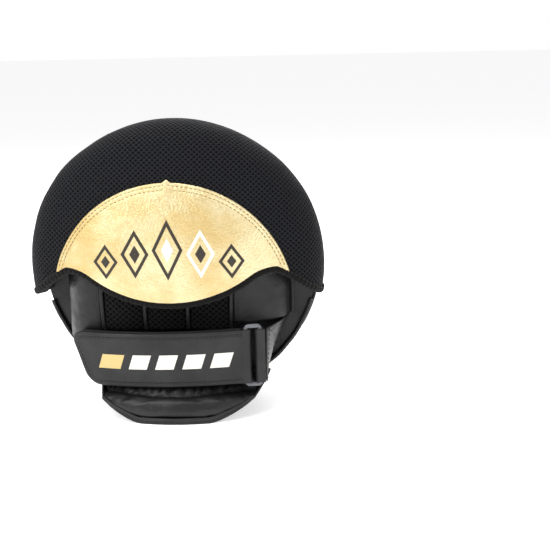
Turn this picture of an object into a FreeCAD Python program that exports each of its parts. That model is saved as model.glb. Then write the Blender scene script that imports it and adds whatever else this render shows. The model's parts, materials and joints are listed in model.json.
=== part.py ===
"""Focus mitt: a round striking pad with a dished face, a hooded hand pocket on its back and a wrist strap.

Every sub-part is drawn about the pad's own centre: X to the right as the back is seen, +Y out of the
striking face, +Z up, and Y = 0 on the outside of the back panel. One placement then stands the whole mitt
on its laced edge and its wrist cuff. Lengths are millimetres and angles are degrees.
"""

import FreeCAD, Part

import math
import os
import re

import Sketcher
from FreeCAD import Placement, Rotation, Vector

doc = FreeCAD.newDocument("focus_mitt")
sheet = doc.addObject("Spreadsheet::Sheet", "sizes")

DRIVING = {
    # striking pad
    "rear_radius": 109.5,  # back edge of the side wall
    "wall_taper": 9.5,  # how much smaller the seam of the striking face is
    "pad_depth": 40.0,  # back panel to the crest of the rim
    "dish_depth": 11.0,  # crest of the rim to the floor of the dish
    "rim_round": 12.0,  # radius that the face leather is rolled over
    "leather": 1.6,  # thickness of the outer leather
    "wall_curve": 55.0,  # bulge radius of the side wall
    "seam_gap": 0.2,  # between two panels that are sewn together
    "seam_drop": 9.0,  # how far the side seams lie under the horizontal, degrees
    "board_thick": 2.4,
    "foam_inset": 5.0,  # foam's edge inside the seam of the striking face
    "foam_split": 16.0,  # the soft front foam starts here
    "welt_round": 0.75,
    "welt_out": 0.8,  # welt's middle outside the seam of the striking face
    "welt_ahead": 0.5,
    "wall_joint": 0.2,  # between the two lengths of the side wall, degrees
    "roll_round": 1.8,  # rear roll of the back edge
    "roll_angle": 146.0,
    # printed target, radii of its films
    "film": 0.25,
    "eye_radius": 24.8,
    "inner_start": 26.3,
    "inner_stop": 31.2,
    "middle_start": 32.6,
    "middle_stop": 36.9,
    "outer_start": 39.9,
    "outer_stop": 43.2,
    # lacing
    "lace_round": 2.0,
    "lace_front": 22.0,  # row of holes beside the face
    "lace_rear": 9.0,  # row of holes beside the back
    "lace_count": 14.0,
    "lace_pitch": 9.6,  # degrees from one hole to the next
    "hole_gap": 0.6,  # lace to its hole, all round
    "lace_lift": 0.9,  # lace to the leather that it crosses
    "slit_width": 4.0,
    "tongue_thick": 1.2,
    "tongue_beyond": 2.0,  # past each row of holes
    # hood
    "hood_lip": 6.0,  # hood's rim outside the pad's back edge
    "hood_height": 52.0,
    "hood_wall": 10.0,  # straight part of the hood's rim
    "shoulder_round": 26.0,
    "mesh_thick": 3.0,
    "padding_thick": 4.0,
    "lining_thick": 1.0,
    "tape_width": 4.5,
    "tape_thick": 1.2,
    "badge_thick": 1.3,
    # hand pocket
    "vault_room": 21.0,  # crown of the hood to the back of the hand
    "vault_thick": 2.5,
    "vault_tuck": 4.2,  # lower end of its panels, behind the strap
    "rib_width": 3.0,
    "rib_proud": 1.5,
    "panel_swell": 1.31,  # radius of a mesh panel as a share of its width
    "thumb_swell": 0.61,  # radius of the thumb sleeve as a share of its chord
    "side_swell": 0.65,
    "edge_width": 3.0,
    "ball_height": 14.0,
    # wrist strap and its ring
    "bar_room": 4.0,  # crown of the hood to the ring bar that carries the strap
    "ring_lean": 12.0,  # degrees
    "ring_reach": 10.7,  # bar to bar
    "ring_bend": 2.4,
    "wire_round": 1.6,
    "wire_gap": 0.3,  # ring wire to the leather round it
    "strap_thick": 2.0,
    "strap_width": 42.0,
    "strap_room": 1.0,  # ring's inside length beyond the strap's width
    "hinge_leg": 3.5,  # strap lying straight beside the ring's bar
    "flap_corner": 7.0,
    "pile_thick": 1.5,
    "pile_inset": 4.0,  # inside the strap's long edges
    "pile_start": 5.0,  # loop pile's end beside the ring
    "pile_stop": 6.0,  # from the pile's far end to the end of its layer
    "hook_start": 8.0,  # degrees along the strap's curve
    "tip_spare": 5.0,  # trimmed off the flap's rounded end
    "anchor_low_inset": 2.0,
    "anchor_high_inset": 4.0,
    # wrist cuff
    "cuff_sink": 4.2,  # how much of its round the flat foot cuts off
    "cuff_top": 22.0,
    "cuff_start": 6.0,
    "cuff_beyond": 18.0,  # front of the cuff beyond the crown of the hood
    "cuff_inset": 2.0,  # front of the cushion inside the front of the shell
    "shell_thick": 5.0,
    "cover_thick": 1.5,
    "wrist_gap": 6.1,  # cushion to strap
    "flange_low": 6.5,
    "flange_high": 14.5,
    "moving_gap": 0.4,  # between pieces that move against each other
    # where things lie on a pad of the nominal radius: they spread out with a larger pad
    "nominal_radius": 109.5,
    "mouth_tip": -24.8,  # lowest point of the mouth's edge
    "mouth_arch": 0.5,  # highest point of the mouth's edge
    "arch_side": 84.0,  # how far out that point is
    "arch_round": 28.0,
    "badge_round": 92.4,
    "badge_centre": -24.4,
    "vault_high": 34.0,
    "first_rib": -57.0,
    "rib_pitch": 33.5,
    "thumb_seam": 88.0,
    "thumb_low": -58.0,
    "thumb_high": 10.0,
    "side_seam": 88.0,
    "ball_radius": 30.0,
    "ball_drop": 25.0,
    "bar_across": 56.0,
    "strap_curve": 220.0,
    "base_end": 72.0,
    "flap_top_end": 78.0,
    "flap_low_end": 63.0,
    "cuff_radius": 96.0,
    "cuff_front": 130.0,  # plan radius of its front
    "flange_half": 36.0,
}

for row, (alias, number) in enumerate(DRIVING.items(), start=1):
    sheet.set(f"A{row}", alias)
    sheet.set(f"B{row}", str(number))
    sheet.setAlias(f"B{row}", alias)
doc.recompute()

# sizes that follow from others
DERIVED = {
    "face_radius": "rear_radius - wall_taper",
    "foam_radius": "face_radius - foam_inset",
    "hood_radius": "rear_radius + hood_lip",
    "vault_depth": "hood_height - vault_room",
    "bar_back": "hood_height - bar_room",
    "cuff_reach": "hood_height + cuff_beyond",
    "strap_low": "cuff_top + wrist_gap - stand_height",
    "strap_high": "strap_low + strap_width",
    "vault_low": "strap_high - vault_tuck",
    "side_low": "strap_high + moving_gap",
    "tab_low_seam": "sqrt((rear_radius - 2 * roll_round)^2 - strap_low^2)",
}
names = list(DRIVING)
SPREADING = set(names[names.index("nominal_radius") + 1:])

WORD = re.compile(r"[a-z][a-z_]*")
CUT_MARGIN = 20.0  # how far a cutting outline runs past the piece it trims
subparts = []


def spell_out(text):
    """An expression with each derived size written out in driving ones."""

    def spell(match):
        word = match.group()
        if word in DERIVED:
            return f"({spell_out(DERIVED[word])})"
        return f"({word} * rear_radius / nominal_radius)" if word in SPREADING else word

    return WORD.sub(spell, str(text))


def formula(text):
    """The expression for a document object, with every alias taken from the sheet."""
    return WORD.sub(lambda m: f"sizes.{m.group()}" if m.group() in DRIVING else m.group(), spell_out(text))


def value(text):
    """The number that an expression has now."""
    found = sheet.evalExpression(spell_out(text))
    return float(getattr(found, "Value", found))


def bind(item, prop, text):
    """Ties one property of a document object to an expression of aliases."""
    item.setExpression(prop, formula(text))


def seat(item, base=("0", "0", "0"), turn=None):
    """Puts a sub-part at base, in the pad's own frame, and stands the pad on the ground."""
    bind(item, "Placement.Base.x", base[0])
    bind(item, "Placement.Base.y", f"{base[1]} + (cuff_reach - pad_depth) / 2")
    bind(item, "Placement.Base.z", f"{base[2]} + stand_height")
    if turn is not None:
        axis, angle = turn
        item.Placement = Placement(item.Placement.Base, Rotation(Vector(*axis), 1.0))
        bind(item, "Placement.Rotation.Angle", angle)


def keep(item, label):
    """Names a sub-part for export."""
    item.Label = label
    subparts.append(item)
    return item


# ---------------------------------------------------------------- sketches


def corner_on_axis(sketch, geometry, end, axis):
    sketch.addConstraint(Sketcher.Constraint("PointOnObject", geometry, end, axis))


def fix_corner(sketch, geometry, end, corner):
    """Holds a corner at its two coordinates, each tied to its expression."""
    for kind, text, axis in (("DistanceX", corner[0], -2), ("DistanceY", corner[1], -1)):
        if str(text) == "0":
            corner_on_axis(sketch, geometry, end, axis)
            continue
        index = sketch.addConstraint(Sketcher.Constraint(kind, -1, 1, geometry, end, value(text)))
        sketch.renameConstraint(index, f"{kind}_{index}")
        bind(sketch, f"Constraints.{kind}_{index}", text)


def arc_between(start, stop, radius):
    """The arc from start to stop; a positive radius turns left and a negative one turns right."""
    half = (stop - start) * 0.5
    left = Vector(-half.y, half.x, 0).normalize()
    rise = math.sqrt(max(radius * radius - half.Length**2, 0.0))
    centre = start + half + left * math.copysign(rise, radius)
    first, last = (start, stop) if radius > 0 else (stop, start)
    angles = [math.atan2(p.y - centre.y, p.x - centre.x) for p in (first, last)]
    if angles[1] < angles[0]:
        angles[1] += 2 * math.pi
    return Part.ArcOfCircle(Part.Circle(centre, Vector(0, 0, 1), abs(radius)), *angles)


def draw(sketch, corners):
    """Draws a closed outline of corners: (x, y), reached by a line, or (x, y, radius), by an arc."""
    points = [Vector(value(c[0]), value(c[1]), 0) for c in corners]
    ends = []
    for i, corner in enumerate(corners):
        start, stop = points[i - 1], points[i]
        if len(corner) == 3:
            radius = value(corner[2])
            index = sketch.addGeometry(arc_between(start, stop, radius), False)
            ends.append((index, 1, 2) if radius > 0 else (index, 2, 1))
        else:
            index = sketch.addGeometry(Part.LineSegment(start, stop), False)
            ends.append((index, 1, 2))
    for i, corner in enumerate(corners):
        here, after = ends[i], ends[(i + 1) % len(corners)]
        sketch.addConstraint(Sketcher.Constraint("Coincident", here[0], here[2], after[0], after[1]))
        fix_corner(sketch, here[0], here[2], corner)
        if len(corner) == 3:
            size = abs(value(corner[2]))
            index = sketch.addConstraint(Sketcher.Constraint("Radius", here[0], size))
            sketch.renameConstraint(index, f"Radius_{index}")
            bind(sketch, f"Constraints.Radius_{index}", f"abs({corner[2]})")


def draw_circle(sketch, centre, radius):
    """Draws a full circle."""
    middle = Vector(value(centre[0]), value(centre[1]), 0)
    index = sketch.addGeometry(Part.Circle(middle, Vector(0, 0, 1), value(radius)), False)
    fix_corner(sketch, index, 3, centre)
    tied = sketch.addConstraint(Sketcher.Constraint("Radius", index, value(radius)))
    sketch.renameConstraint(tied, "circle_radius")
    bind(sketch, "Constraints.circle_radius", radius)


def new_sketch(body, plane, offset="0"):
    """A sketch on one of the body's own origin planes, raised by offset along the plane's normal."""
    support = [f for f in body.Origin.OriginFeatures if f.Role == plane][0]
    sketch = body.newObject("Sketcher::SketchObject", f"{body.Name}_sketch")
    sketch.AttachmentSupport = [(support, "")]
    sketch.MapMode = "FlatFace"
    if offset != "0":
        bind(sketch, "AttachmentOffset.Base.z", offset)
    return sketch


# ---------------------------------------------------------------- features


def new_body(name):
    return doc.addObject("PartDesign::Body", name)


def revolve(body, corners, angle="360"):
    """Turns an outline of (along Y, outwards) corners about the pad's axis, centred on the outline."""
    sketch = new_sketch(body, "YZ_Plane")
    draw(sketch, corners)
    feature = body.newObject("PartDesign::Revolution", f"{body.Name}_turn")
    feature.Profile = sketch
    feature.ReferenceAxis = (sketch, ["H_Axis"])
    feature.Midplane = True
    bind(feature, "Angle", angle)
    return feature


def pad(body, plane, corners, length, offset="0", both_ways=False):
    """Raises an outline off one of the body's planes."""
    sketch = new_sketch(body, plane, offset)
    draw(sketch, corners)
    feature = body.newObject("PartDesign::Pad", f"{body.Name}_pad")
    feature.Profile = sketch
    if both_ways:
        feature.SideType = "Symmetric"
    bind(feature, "Length", length)
    return feature


def cut_through(body, plane, *outlines):
    """Cuts away what lies inside the outlines, right through the body both ways."""
    sketch = new_sketch(body, plane)
    for outline in outlines:
        outline(sketch)
    doc.recompute()
    feature = body.newObject("PartDesign::Pocket", f"{body.Name}_trim")
    feature.Profile = sketch
    feature.Type = "ThroughAll"
    feature.SideType = "Symmetric"
    before = body.Shape.Volume
    doc.recompute()
    if not body.Shape.Volume < before:
        raise ValueError(f"the cut in {body.Name} removes nothing")
    return feature


# ---------------------------------------------------------------- curves that several pieces share

RIM_CENTRE = "(face_radius - rim_round)"
RIM_Y = "(pad_depth - rim_round)"
DISH_FLOOR = "(pad_depth - dish_depth)"
DISH_CURVE = f"(({RIM_CENTRE}^2 + (rim_round - dish_depth)^2 - rim_round^2) / (2 * dish_depth))"


def face_curve(depth):
    """Corners of the striking face from its centre to its seam, at a depth under the outer surface."""
    share = f"(({DISH_CURVE} + {depth}) / ({DISH_CURVE} + rim_round))"
    blend_y = f"{DISH_FLOOR} + {DISH_CURVE} + ({RIM_Y} - {DISH_FLOOR} - {DISH_CURVE}) * {share}"
    return {
        "floor": (f"{DISH_FLOOR} - {depth}", "0"),
        "blend": (blend_y, f"{RIM_CENTRE} * {share}"),
        "seam": (RIM_Y, f"face_radius - {depth}"),
        "dish": f"({DISH_CURVE} + {depth})",
        "rim": f"(rim_round - {depth})",
    }


def face_layer(outer, inner):
    """Closed outline of a layer of the face between two depths."""
    top, low = face_curve(outer), face_curve(inner)
    return [
        top["floor"],
        (*top["blend"], f"-{top['dish']}"),
        (*top["seam"], top["rim"]),
        low["seam"],
        (*low["blend"], f"-{low['rim']}"),
        (*low["floor"], low["dish"]),
    ]


def film_layer(start, stop):
    """Closed outline of a printed film on the dish, from one radius to another."""
    centre = f"({DISH_FLOOR} + {DISH_CURVE})"

    def on_dish(radius, lift):
        return f"{centre} - sqrt(({DISH_CURVE} - {lift})^2 - ({radius})^2)"

    if start == "0":
        return [
            (f"{DISH_FLOOR} + film", "0"),
            (on_dish(stop, "film"), stop, f"-({DISH_CURVE} - film)"),
            (on_dish(stop, "0"), stop),
            (DISH_FLOOR, "0", DISH_CURVE),
        ]
    return [
        (on_dish(start, "film"), start),
        (on_dish(stop, "film"), stop, f"-({DISH_CURVE} - film)"),
        (on_dish(stop, "0"), stop),
        (on_dish(start, "0"), start, DISH_CURVE),
    ]


WALL_SPAN = f"({RIM_Y} - seam_gap - leather)"


def wall_radius(y, depth="0"):
    """Straight-line radius of the side wall at y, under its outer surface by depth."""
    return f"(rear_radius - (rear_radius - face_radius) * ({y} - leather) / {WALL_SPAN} - {depth})"


def bulge(y):
    """How far the curved side wall stands outside its straight line at y."""
    slant = f"(sqrt({WALL_SPAN}^2 + (rear_radius - face_radius)^2) / {WALL_SPAN})"
    along = f"(({y} - leather) * {slant})"
    return f"({along} * ({WALL_SPAN} * {slant} - {along}) / (2 * wall_curve))"


# the rear end of each lace strand is the pad's lowest point, so it sets how high the pad's centre stands
DERIVED["stand_height"] = f"{wall_radius('lace_rear')} + {bulge('lace_rear')} + lace_lift + 2 * lace_round"
SHOULDER = "(hood_radius - shoulder_round)"
CROWN_RISE = "(hood_height - hood_wall)"
CROWN = f"(({SHOULDER}^2 + {CROWN_RISE}^2 - shoulder_round^2) / (2 * ({CROWN_RISE} - shoulder_round)))"
HOOD_THICK = "(mesh_thick + padding_thick + lining_thick)"


def dome_curve(depth):
    """Corners of the hood from its rim to its crown, at a depth under its outer surface."""
    share = f"(({CROWN} - {depth}) / ({CROWN} - shoulder_round))"
    blend_y = f"{CROWN} - hood_height - ({CROWN} - {CROWN_RISE}) * {share}"
    return {
        "rim": ("-seam_gap", f"hood_radius - {depth}"),
        "wall": ("-hood_wall", f"hood_radius - {depth}"),
        "blend": (blend_y, f"{SHOULDER} * {share}"),
        "crown": (f"{depth} - hood_height", "0"),
        "shoulder_arc": f"(shoulder_round - {depth})",
        "crown_arc": f"({CROWN} - {depth})",
    }


def dome_layer(outer, inner):
    """Closed outline of a layer of the hood between two depths."""
    top, low = dome_curve(outer), dome_curve(inner)
    return [
        top["rim"],
        top["wall"],
        (*top["blend"], top["shoulder_arc"]),
        (*top["crown"], top["crown_arc"]),
        low["crown"],
        (*low["blend"], f"-{low['crown_arc']}"),
        (*low["wall"], f"-{low['shoulder_arc']}"),
        low["rim"],
    ]


MOUTH_RISE = "(mouth_arch - mouth_tip)"
MOUTH_SUM = f"((arch_side^2 + {MOUTH_RISE}^2) / (2 * {MOUTH_RISE}))"
TIP_ROUND = f"({MOUTH_SUM} - arch_round)"
FAR = f"(hood_radius + {CUT_MARGIN})"


def mouth_edge(raised):
    """The five corners of the mouth's edge from right to left, raised into the hood by a distance."""
    share = f"(({TIP_ROUND} - {raised}) / {MOUTH_SUM})"
    meet_x = f"arch_side * {share}"
    meet_z = f"mouth_tip + {TIP_ROUND} - ({MOUTH_SUM} - {MOUTH_RISE}) * {share}"
    side_x = f"arch_side + arch_round + {raised}"
    side_z = "mouth_arch - arch_round"
    arch, tip = f"(arch_round + {raised})", f"({TIP_ROUND} - {raised})"
    return [
        (side_x, side_z),
        (meet_x, meet_z, arch),
        (f"-({meet_x})", meet_z, f"-{tip}"),
        (f"-({side_x})", side_z, arch),
    ]


def below_mouth(raised):
    """Draws what lies under the mouth's edge."""
    side_z = "mouth_arch - arch_round"
    around = [(f"-{FAR}", side_z), (f"-{FAR}", f"-{FAR}"), (FAR, f"-{FAR}"), (FAR, side_z)]
    corners = mouth_edge(raised) + around
    return lambda sketch: draw(sketch, corners)


def above_mouth(raised):
    """Draws what lies over the mouth's edge."""
    side_z = "mouth_arch - arch_round"
    around = [(f"-{FAR}", side_z), (f"-{FAR}", FAR), (FAR, FAR), (FAR, side_z)]
    corners = mouth_edge(raised) + around
    return lambda sketch: draw(sketch, corners)


# ---------------------------------------------------------------- striking pad


def make_face():
    """The gold face with its rolled rim, and the target printed on it."""
    body = new_body("face_panel")
    revolve(body, face_layer("0", "leather"))
    keep(body, "face_panel")
    eye = new_body("target_bullseye")
    revolve(eye, film_layer("0", "eye_radius"))
    keep(eye, "target_bullseye")
    for ring in ("inner", "middle", "outer"):
        film = new_body(f"target_ring_{ring}")
        revolve(film, film_layer(f"{ring}_start", f"{ring}_stop"))
        keep(film, f"target_ring_{ring}")


def make_foam():
    """What fills the pad: soft foam under the dish, dense foam behind it and a stiff board."""
    under = face_curve("leather")
    reach = f"(sqrt((rim_round - leather)^2 - (foam_radius - {RIM_CENTRE})^2) + {RIM_Y})"
    front = new_body("impact_foam")
    soft = [
        under["floor"],
        (*under["blend"], f"-{under['dish']}"),
        (reach, "foam_radius", under["rim"]),
        ("foam_split", "foam_radius"),
        ("foam_split", "0"),
    ]
    revolve(front, soft)
    keep(front, "impact_foam")
    for name, low, high in (("core_foam", "leather + board_thick", "foam_split"),
                            ("backing_board", "leather", "leather + board_thick")):
        body = new_body(name)
        revolve(body, [(low, "0"), (low, "foam_radius"), (high, "foam_radius"), (high, "0")])
        keep(body, name)
    back = new_body("back_panel")
    revolve(back, [("0", "0"), ("0", "rear_radius"), ("leather", "rear_radius"), ("leather", "0")])
    keep(back, "back_panel")


def wall_outline(side):
    """Section of the leather side wall; side is + for the upper half and - for the lower one."""
    top = f"{RIM_Y} - seam_gap"
    turn = ("-", "") if side == "+" else ("", "-")
    return [
        (top, f"{side}face_radius"),
        ("leather", f"{side}rear_radius", f"{turn[1]}wall_curve"),
        ("leather", f"{side}(rear_radius - leather)"),
        (top, f"{side}(face_radius - leather)", f"{turn[0]}wall_curve"),
    ]


def make_wall():
    """The side wall in two lengths, the lower one slit and punched for its lace, with a tongue behind."""
    upper = new_body("wall_upper")
    revolve(upper, wall_outline("+"), "180 + 2 * seam_drop - wall_joint")
    keep(upper, "wall_upper")

    lower = new_body("wall_lower")
    revolve(lower, wall_outline("-"), "180 - 2 * seam_drop")
    middle = "(lace_front + lace_rear) / 2"
    slit = new_sketch(lower, "YZ_Plane")
    inside, outside = f"-(face_radius - {CUT_MARGIN})", f"-(rear_radius + {CUT_MARGIN})"
    edges = [f"{middle} - slit_width / 2", f"{middle} + slit_width / 2"]
    draw(slit, [(edges[0], inside), (edges[0], outside), (edges[1], outside), (edges[1], inside)])
    doc.recompute()
    groove = lower.newObject("PartDesign::Groove", "wall_slit")
    groove.Profile = slit
    groove.ReferenceAxis = (slit, ["H_Axis"])
    groove.Midplane = True
    bind(groove, "Angle", "lace_count * lace_pitch")
    for row, lead in (("lace_front", "0"), ("lace_rear", "lace_pitch / 2")):
        punch_row(lower, row, lead)
    keep(lower, "wall_lower")

    tongue = new_body("lacing_tongue")
    low, high = "-(foam_radius + seam_gap)", "-(foam_radius + seam_gap + tongue_thick)"
    rear, front = "lace_rear - tongue_beyond", "lace_front + tongue_beyond"
    revolve(tongue, [(rear, low), (rear, high), (front, high), (front, low)], "lace_count * lace_pitch")
    keep(tongue, "lacing_tongue")


def punch_row(body, row, lead):
    """One row of lace holes, the first punched at one end of the slit and the rest stepped round."""
    sketch = new_sketch(body, "XY_Plane")
    draw_circle(sketch, ("0", row), "lace_round + hole_gap")
    sketch.AttachmentOffset = Placement(Vector(), Rotation(Vector(0, 1, 0), 1.0))
    bind(sketch, "AttachmentOffset.Rotation.Angle", f"(lace_count - 1) * lace_pitch / 2 - ({lead})")
    doc.recompute()
    hole = body.newObject("PartDesign::Pocket", f"{row}_hole")
    hole.Profile = sketch
    hole.Type = "ThroughAll"
    before = body.Shape.Volume
    doc.recompute()
    if not body.Shape.Volume < before:
        raise ValueError(f"the first hole of {row} cuts nothing")
    pattern = body.newObject("PartDesign::PolarPattern", f"{row}_holes")
    pattern.Originals = [hole]
    pattern.Axis = (sketch, ["V_Axis"])
    pattern.Mode = "Spacing"
    pattern.Reversed = True
    bind(pattern, "Offset", "lace_pitch")
    bind(pattern, "Occurrences", "lace_count - 1")
    body.Tip = pattern
    doc.recompute()


def make_welts():
    """The thin welt in the face's seam, and the roll along the lower back edge."""
    welt = doc.addObject("Part::Torus", "face_welt")
    bind(welt, "Radius1", "face_radius + welt_out")
    bind(welt, "Radius2", "welt_round")
    keep(welt, "face_welt")
    roll = new_body("rear_roll")
    sketch = new_sketch(roll, "YZ_Plane")
    draw_circle(sketch, ("-(roll_round + seam_gap)", "-(rear_radius - roll_round / 3)"), "roll_round")
    feature = roll.newObject("PartDesign::Revolution", "rear_roll_turn")
    feature.Profile = sketch
    feature.ReferenceAxis = (sketch, ["H_Axis"])
    feature.Midplane = True
    bind(feature, "Angle", "roll_angle")
    keep(roll, "rear_roll")
    return welt


# ---------------------------------------------------------------- lace


LACE_BEND = 1.3  # bend at a hole, as a share of the lace's radius
RUN_SHARE = 0.45  # most of a run that one bend may take
VOLUME_SLIP = 0.04  # most that a swept tube may differ from its section times its length


def rounded_path(points, radius):
    """A wire of straight runs through the points, with an arc at each inner one."""
    edges, last = [], points[0]
    for before, here, after in zip(points, points[1:], points[2:]):
        come, go = (here - before).normalize(), (after - here).normalize()
        turn = math.acos(max(-1.0, min(1.0, come.dot(go))))
        room = RUN_SHARE * min((here - before).Length, (after - here).Length)
        back = min(radius * math.tan(turn / 2), room)
        enter, leave = here - come * back, here + go * back
        pull = (go - come).normalize()
        bend = back / math.tan(turn / 2)
        middle = here + pull * (bend / math.cos(turn / 2) - bend)
        edges.append(Part.LineSegment(last, enter).toShape())
        edges.append(Part.Arc(enter, middle, leave).toShape())
        last = leave
    edges.append(Part.LineSegment(last, points[-1]).toShape())
    return Part.Wire(edges)


def tube(path, radius):
    """A round solid swept along a wire of lines and tangent arcs."""
    start = path.Edges[0]
    heading = start.tangentAt(start.FirstParameter)
    ring = Part.Wire(Part.makeCircle(radius, start.valueAt(start.FirstParameter), heading))
    solid = path.makePipeShell([ring], True, True)
    expected = math.pi * radius * radius * path.Length
    if abs(solid.Volume - expected) > VOLUME_SLIP * expected:
        raise ValueError("a lace tube came out with the wrong volume")
    return solid


def ground_point(degrees, y, radius):
    """A point of the pad's lower edge; degrees run from straight down towards +X."""
    turn = math.radians(degrees)
    return Vector(radius * math.sin(turn), y, -radius * math.cos(turn))


def make_lace():
    """One lace whipped through both rows of holes, with a bight left standing at its upper end."""
    count, pitch = int(round(value("lace_count"))), value("lace_pitch")
    thick, lift = value("lace_round"), value("lace_lift")
    outside, inside = {}, {}
    for row in ("lace_front", "lace_rear"):
        surface = value(f"{wall_radius(row)} + {bulge(row)}")
        outside[row] = surface + lift + thick
        inside[row] = surface - value("leather") - lift - thick
    points = []
    for step in range(count - 1):
        front = (step - (count - 1) / 2) * pitch
        for row, angle, order in (("lace_front", front, (inside, outside)),
                                  ("lace_rear", front + pitch / 2, (outside, inside))):
            for side in order:
                points.append(ground_point(angle, value(row), side[row]))
    del points[-2:]  # the last strand stays outside and runs on into the bight
    last = ((count - 1) / 2 - 1) * pitch
    middle = value("(lace_front + lace_rear) / 2")
    half = value("lace_front - lace_rear") / 2
    crest = value(f"{wall_radius('lace_rear')} + {bulge('lace_rear')}") + lift + thick
    for ahead, across in BIGHT:
        points.append(ground_point(last + ahead * pitch, middle + across * half, crest))
    lace = doc.addObject("Part::Feature", "lace")
    lace.Shape = tube(rounded_path(points, thick * LACE_BEND), thick)
    keep(lace, "lace")


# the bight's corners: holes passed since the last hole, and how far across from one row to the other
BIGHT = ((0.6, -0.9), (1.3, -0.75), (1.9, -0.6), (2.3, 0.0), (1.9, 0.6), (1.3, 0.75), (0.9, 0.3))


# ---------------------------------------------------------------- hood


def make_hood():
    """The hood's mesh, padding and lining, its badge, and the tape that binds its mouth."""
    layers = (("hood_mesh", "0", "mesh_thick"),
              ("hood_padding", "mesh_thick", "(mesh_thick + padding_thick)"),
              ("hood_lining", "(mesh_thick + padding_thick)", HOOD_THICK))
    for name, outer, inner in layers:
        body = new_body(name)
        revolve(body, dome_layer(outer, inner))
        cut_through(body, "XZ_Plane", below_mouth("0"))
        keep(body, name)

    badge = new_body("hood_badge")
    revolve(badge, dome_layer("(0 - badge_thick)", "0"))
    cut_through(badge, "XZ_Plane", below_mouth("tape_width"))
    frame = [(f"-{FAR}", f"-{FAR}"), (f"-{FAR}", FAR), (FAR, FAR), (FAR, f"-{FAR}")]
    cut_through(badge, "XZ_Plane", lambda s: draw(s, frame),
                lambda s: draw_circle(s, ("0", "badge_centre"), "badge_round"))
    keep(badge, "hood_badge")

    blank = new_body("hood_blank")
    revolve(blank, dome_layer("0", HOOD_THICK))
    cut_through(blank, "XZ_Plane", below_mouth("0"))
    wrap = new_body("tape_wrap")
    revolve(wrap, dome_layer("(0 - tape_thick)", f"({HOOD_THICK} + tape_thick)"))
    cut_through(wrap, "XZ_Plane", below_mouth("(0 - tape_thick)"))
    cut_through(wrap, "XZ_Plane", above_mouth("tape_width"))
    tape = doc.addObject("Part::Cut", "hood_tape")
    tape.Base, tape.Tool = wrap, blank
    keep(tape, "hood_tape")


# ---------------------------------------------------------------- hand pocket


PANEL_CURVE = "((rib_pitch - rib_width) * panel_swell)"


def make_vault():
    """Three mesh panels over the back of the hand, with the leather ribs that join them."""
    for i, name in enumerate(("knuckle_mesh_left", "knuckle_mesh_middle", "knuckle_mesh_right")):
        left = f"(first_rib + {i} * rib_pitch + rib_width / 2)"
        right = f"(first_rib + {i + 1} * rib_pitch - rib_width / 2)"
        low, high = "-vault_depth", "-vault_depth + vault_thick"
        corners = [(left, low), (right, low, PANEL_CURVE), (right, high), (left, high, f"-{PANEL_CURVE}")]
        body = new_body(name)
        pad(body, "XY_Plane", corners, "vault_high - vault_low", "vault_low")
        keep(body, name)
    for i in range(4):
        middle = f"(first_rib + {i} * rib_pitch)"
        left, right = f"{middle} - rib_width / 2", f"{middle} + rib_width / 2"
        low, high = "-vault_depth - rib_proud", "-vault_depth + vault_thick"
        body = new_body(f"rib_{i + 1}")
        pad(body, "XY_Plane", [(left, low), (right, low), (right, high), (left, high)],
            "vault_high - vault_low", "vault_low")
        keep(body, f"rib_{i + 1}")


def make_pocket_sides():
    """The rounded thumb sleeve beside the vault, the flat leather panel opposite, and its edging."""
    edge = "first_rib - rib_width / 2"
    curve = f"(sqrt(({edge} + thumb_seam)^2 + vault_depth^2) * thumb_swell)"
    thumb = new_body("thumb_sleeve")
    corners = [("-thumb_seam", "-seam_gap"), (edge, "-vault_depth", curve),
               (edge, "-vault_depth + leather"), ("-(thumb_seam - leather)", "-seam_gap", f"-{curve}")]
    pad(thumb, "XY_Plane", corners, "thumb_high - thumb_low", "thumb_low")
    keep(thumb, "thumb_sleeve")

    edge = "(first_rib + 3 * rib_pitch + rib_width / 2)"
    curve = f"(sqrt((side_seam - {edge})^2 + vault_depth^2) * side_swell)"
    side = new_body("side_panel")
    corners = [(edge, "-vault_depth"), ("side_seam", "-seam_gap", curve),
               ("side_seam - leather", "-seam_gap"), (edge, "-vault_depth + leather", f"-{curve}")]
    pad(side, "XY_Plane", corners, "thumb_high - side_low", "side_low")
    keep(side, "side_panel")

    strip = new_body("side_edging")
    left, right = "side_seam + seam_gap", "side_seam + seam_gap + edge_width"
    pad(strip, "XY_Plane", [(left, "-seam_gap - leather"), (right, "-seam_gap - leather"),
                            (right, "-seam_gap"), (left, "-seam_gap")],
        "thumb_high - side_low", "side_low")
    keep(strip, "side_edging")


def make_palm_ball():
    """The domed grip on the back panel that the palm closes on: foam under a leather cap."""
    curve = "((ball_radius^2 + ball_height^2) / (2 * ball_height))"
    core = new_body("palm_ball_foam")
    inner = f"({curve} - leather)"
    rest = f"({inner} - seam_gap)"
    revolve(core, [("-seam_gap", "0"), ("-seam_gap", f"sqrt({rest}^2 - ({curve} - ball_height)^2)"),
                   ("leather - ball_height", "0", rest)])
    keep(core, "palm_ball_foam")
    cap = new_body("palm_ball_cover")
    foot = f"sqrt({inner}^2 - ({curve} - ball_height)^2)"
    revolve(cap, [("-seam_gap", "ball_radius"), ("-seam_gap - ball_height", "0", curve),
                  ("leather - seam_gap - ball_height", "0"), ("-seam_gap", foot, f"-{inner}")])
    keep(cap, "palm_ball_cover")
    return core, cap


# ---------------------------------------------------------------- wrist strap

BAR = ("bar_across", "-bar_back")
STRAP_OFF = "(wire_round + wire_gap + strap_thick / 2)"  # strap's middle from the bar's centre


def strap_point(radius, degrees):
    """Corner on the strap's plan circle, whose centre lies square to the strap at the ring bar."""
    centre_x = "(bar_across - strap_curve * sin(ring_lean))"
    centre_y = "(strap_curve * cos(ring_lean) - bar_back)"
    return (f"{centre_x} + {radius} * sin({degrees})", f"{centre_y} - {radius} * cos({degrees})")


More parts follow.
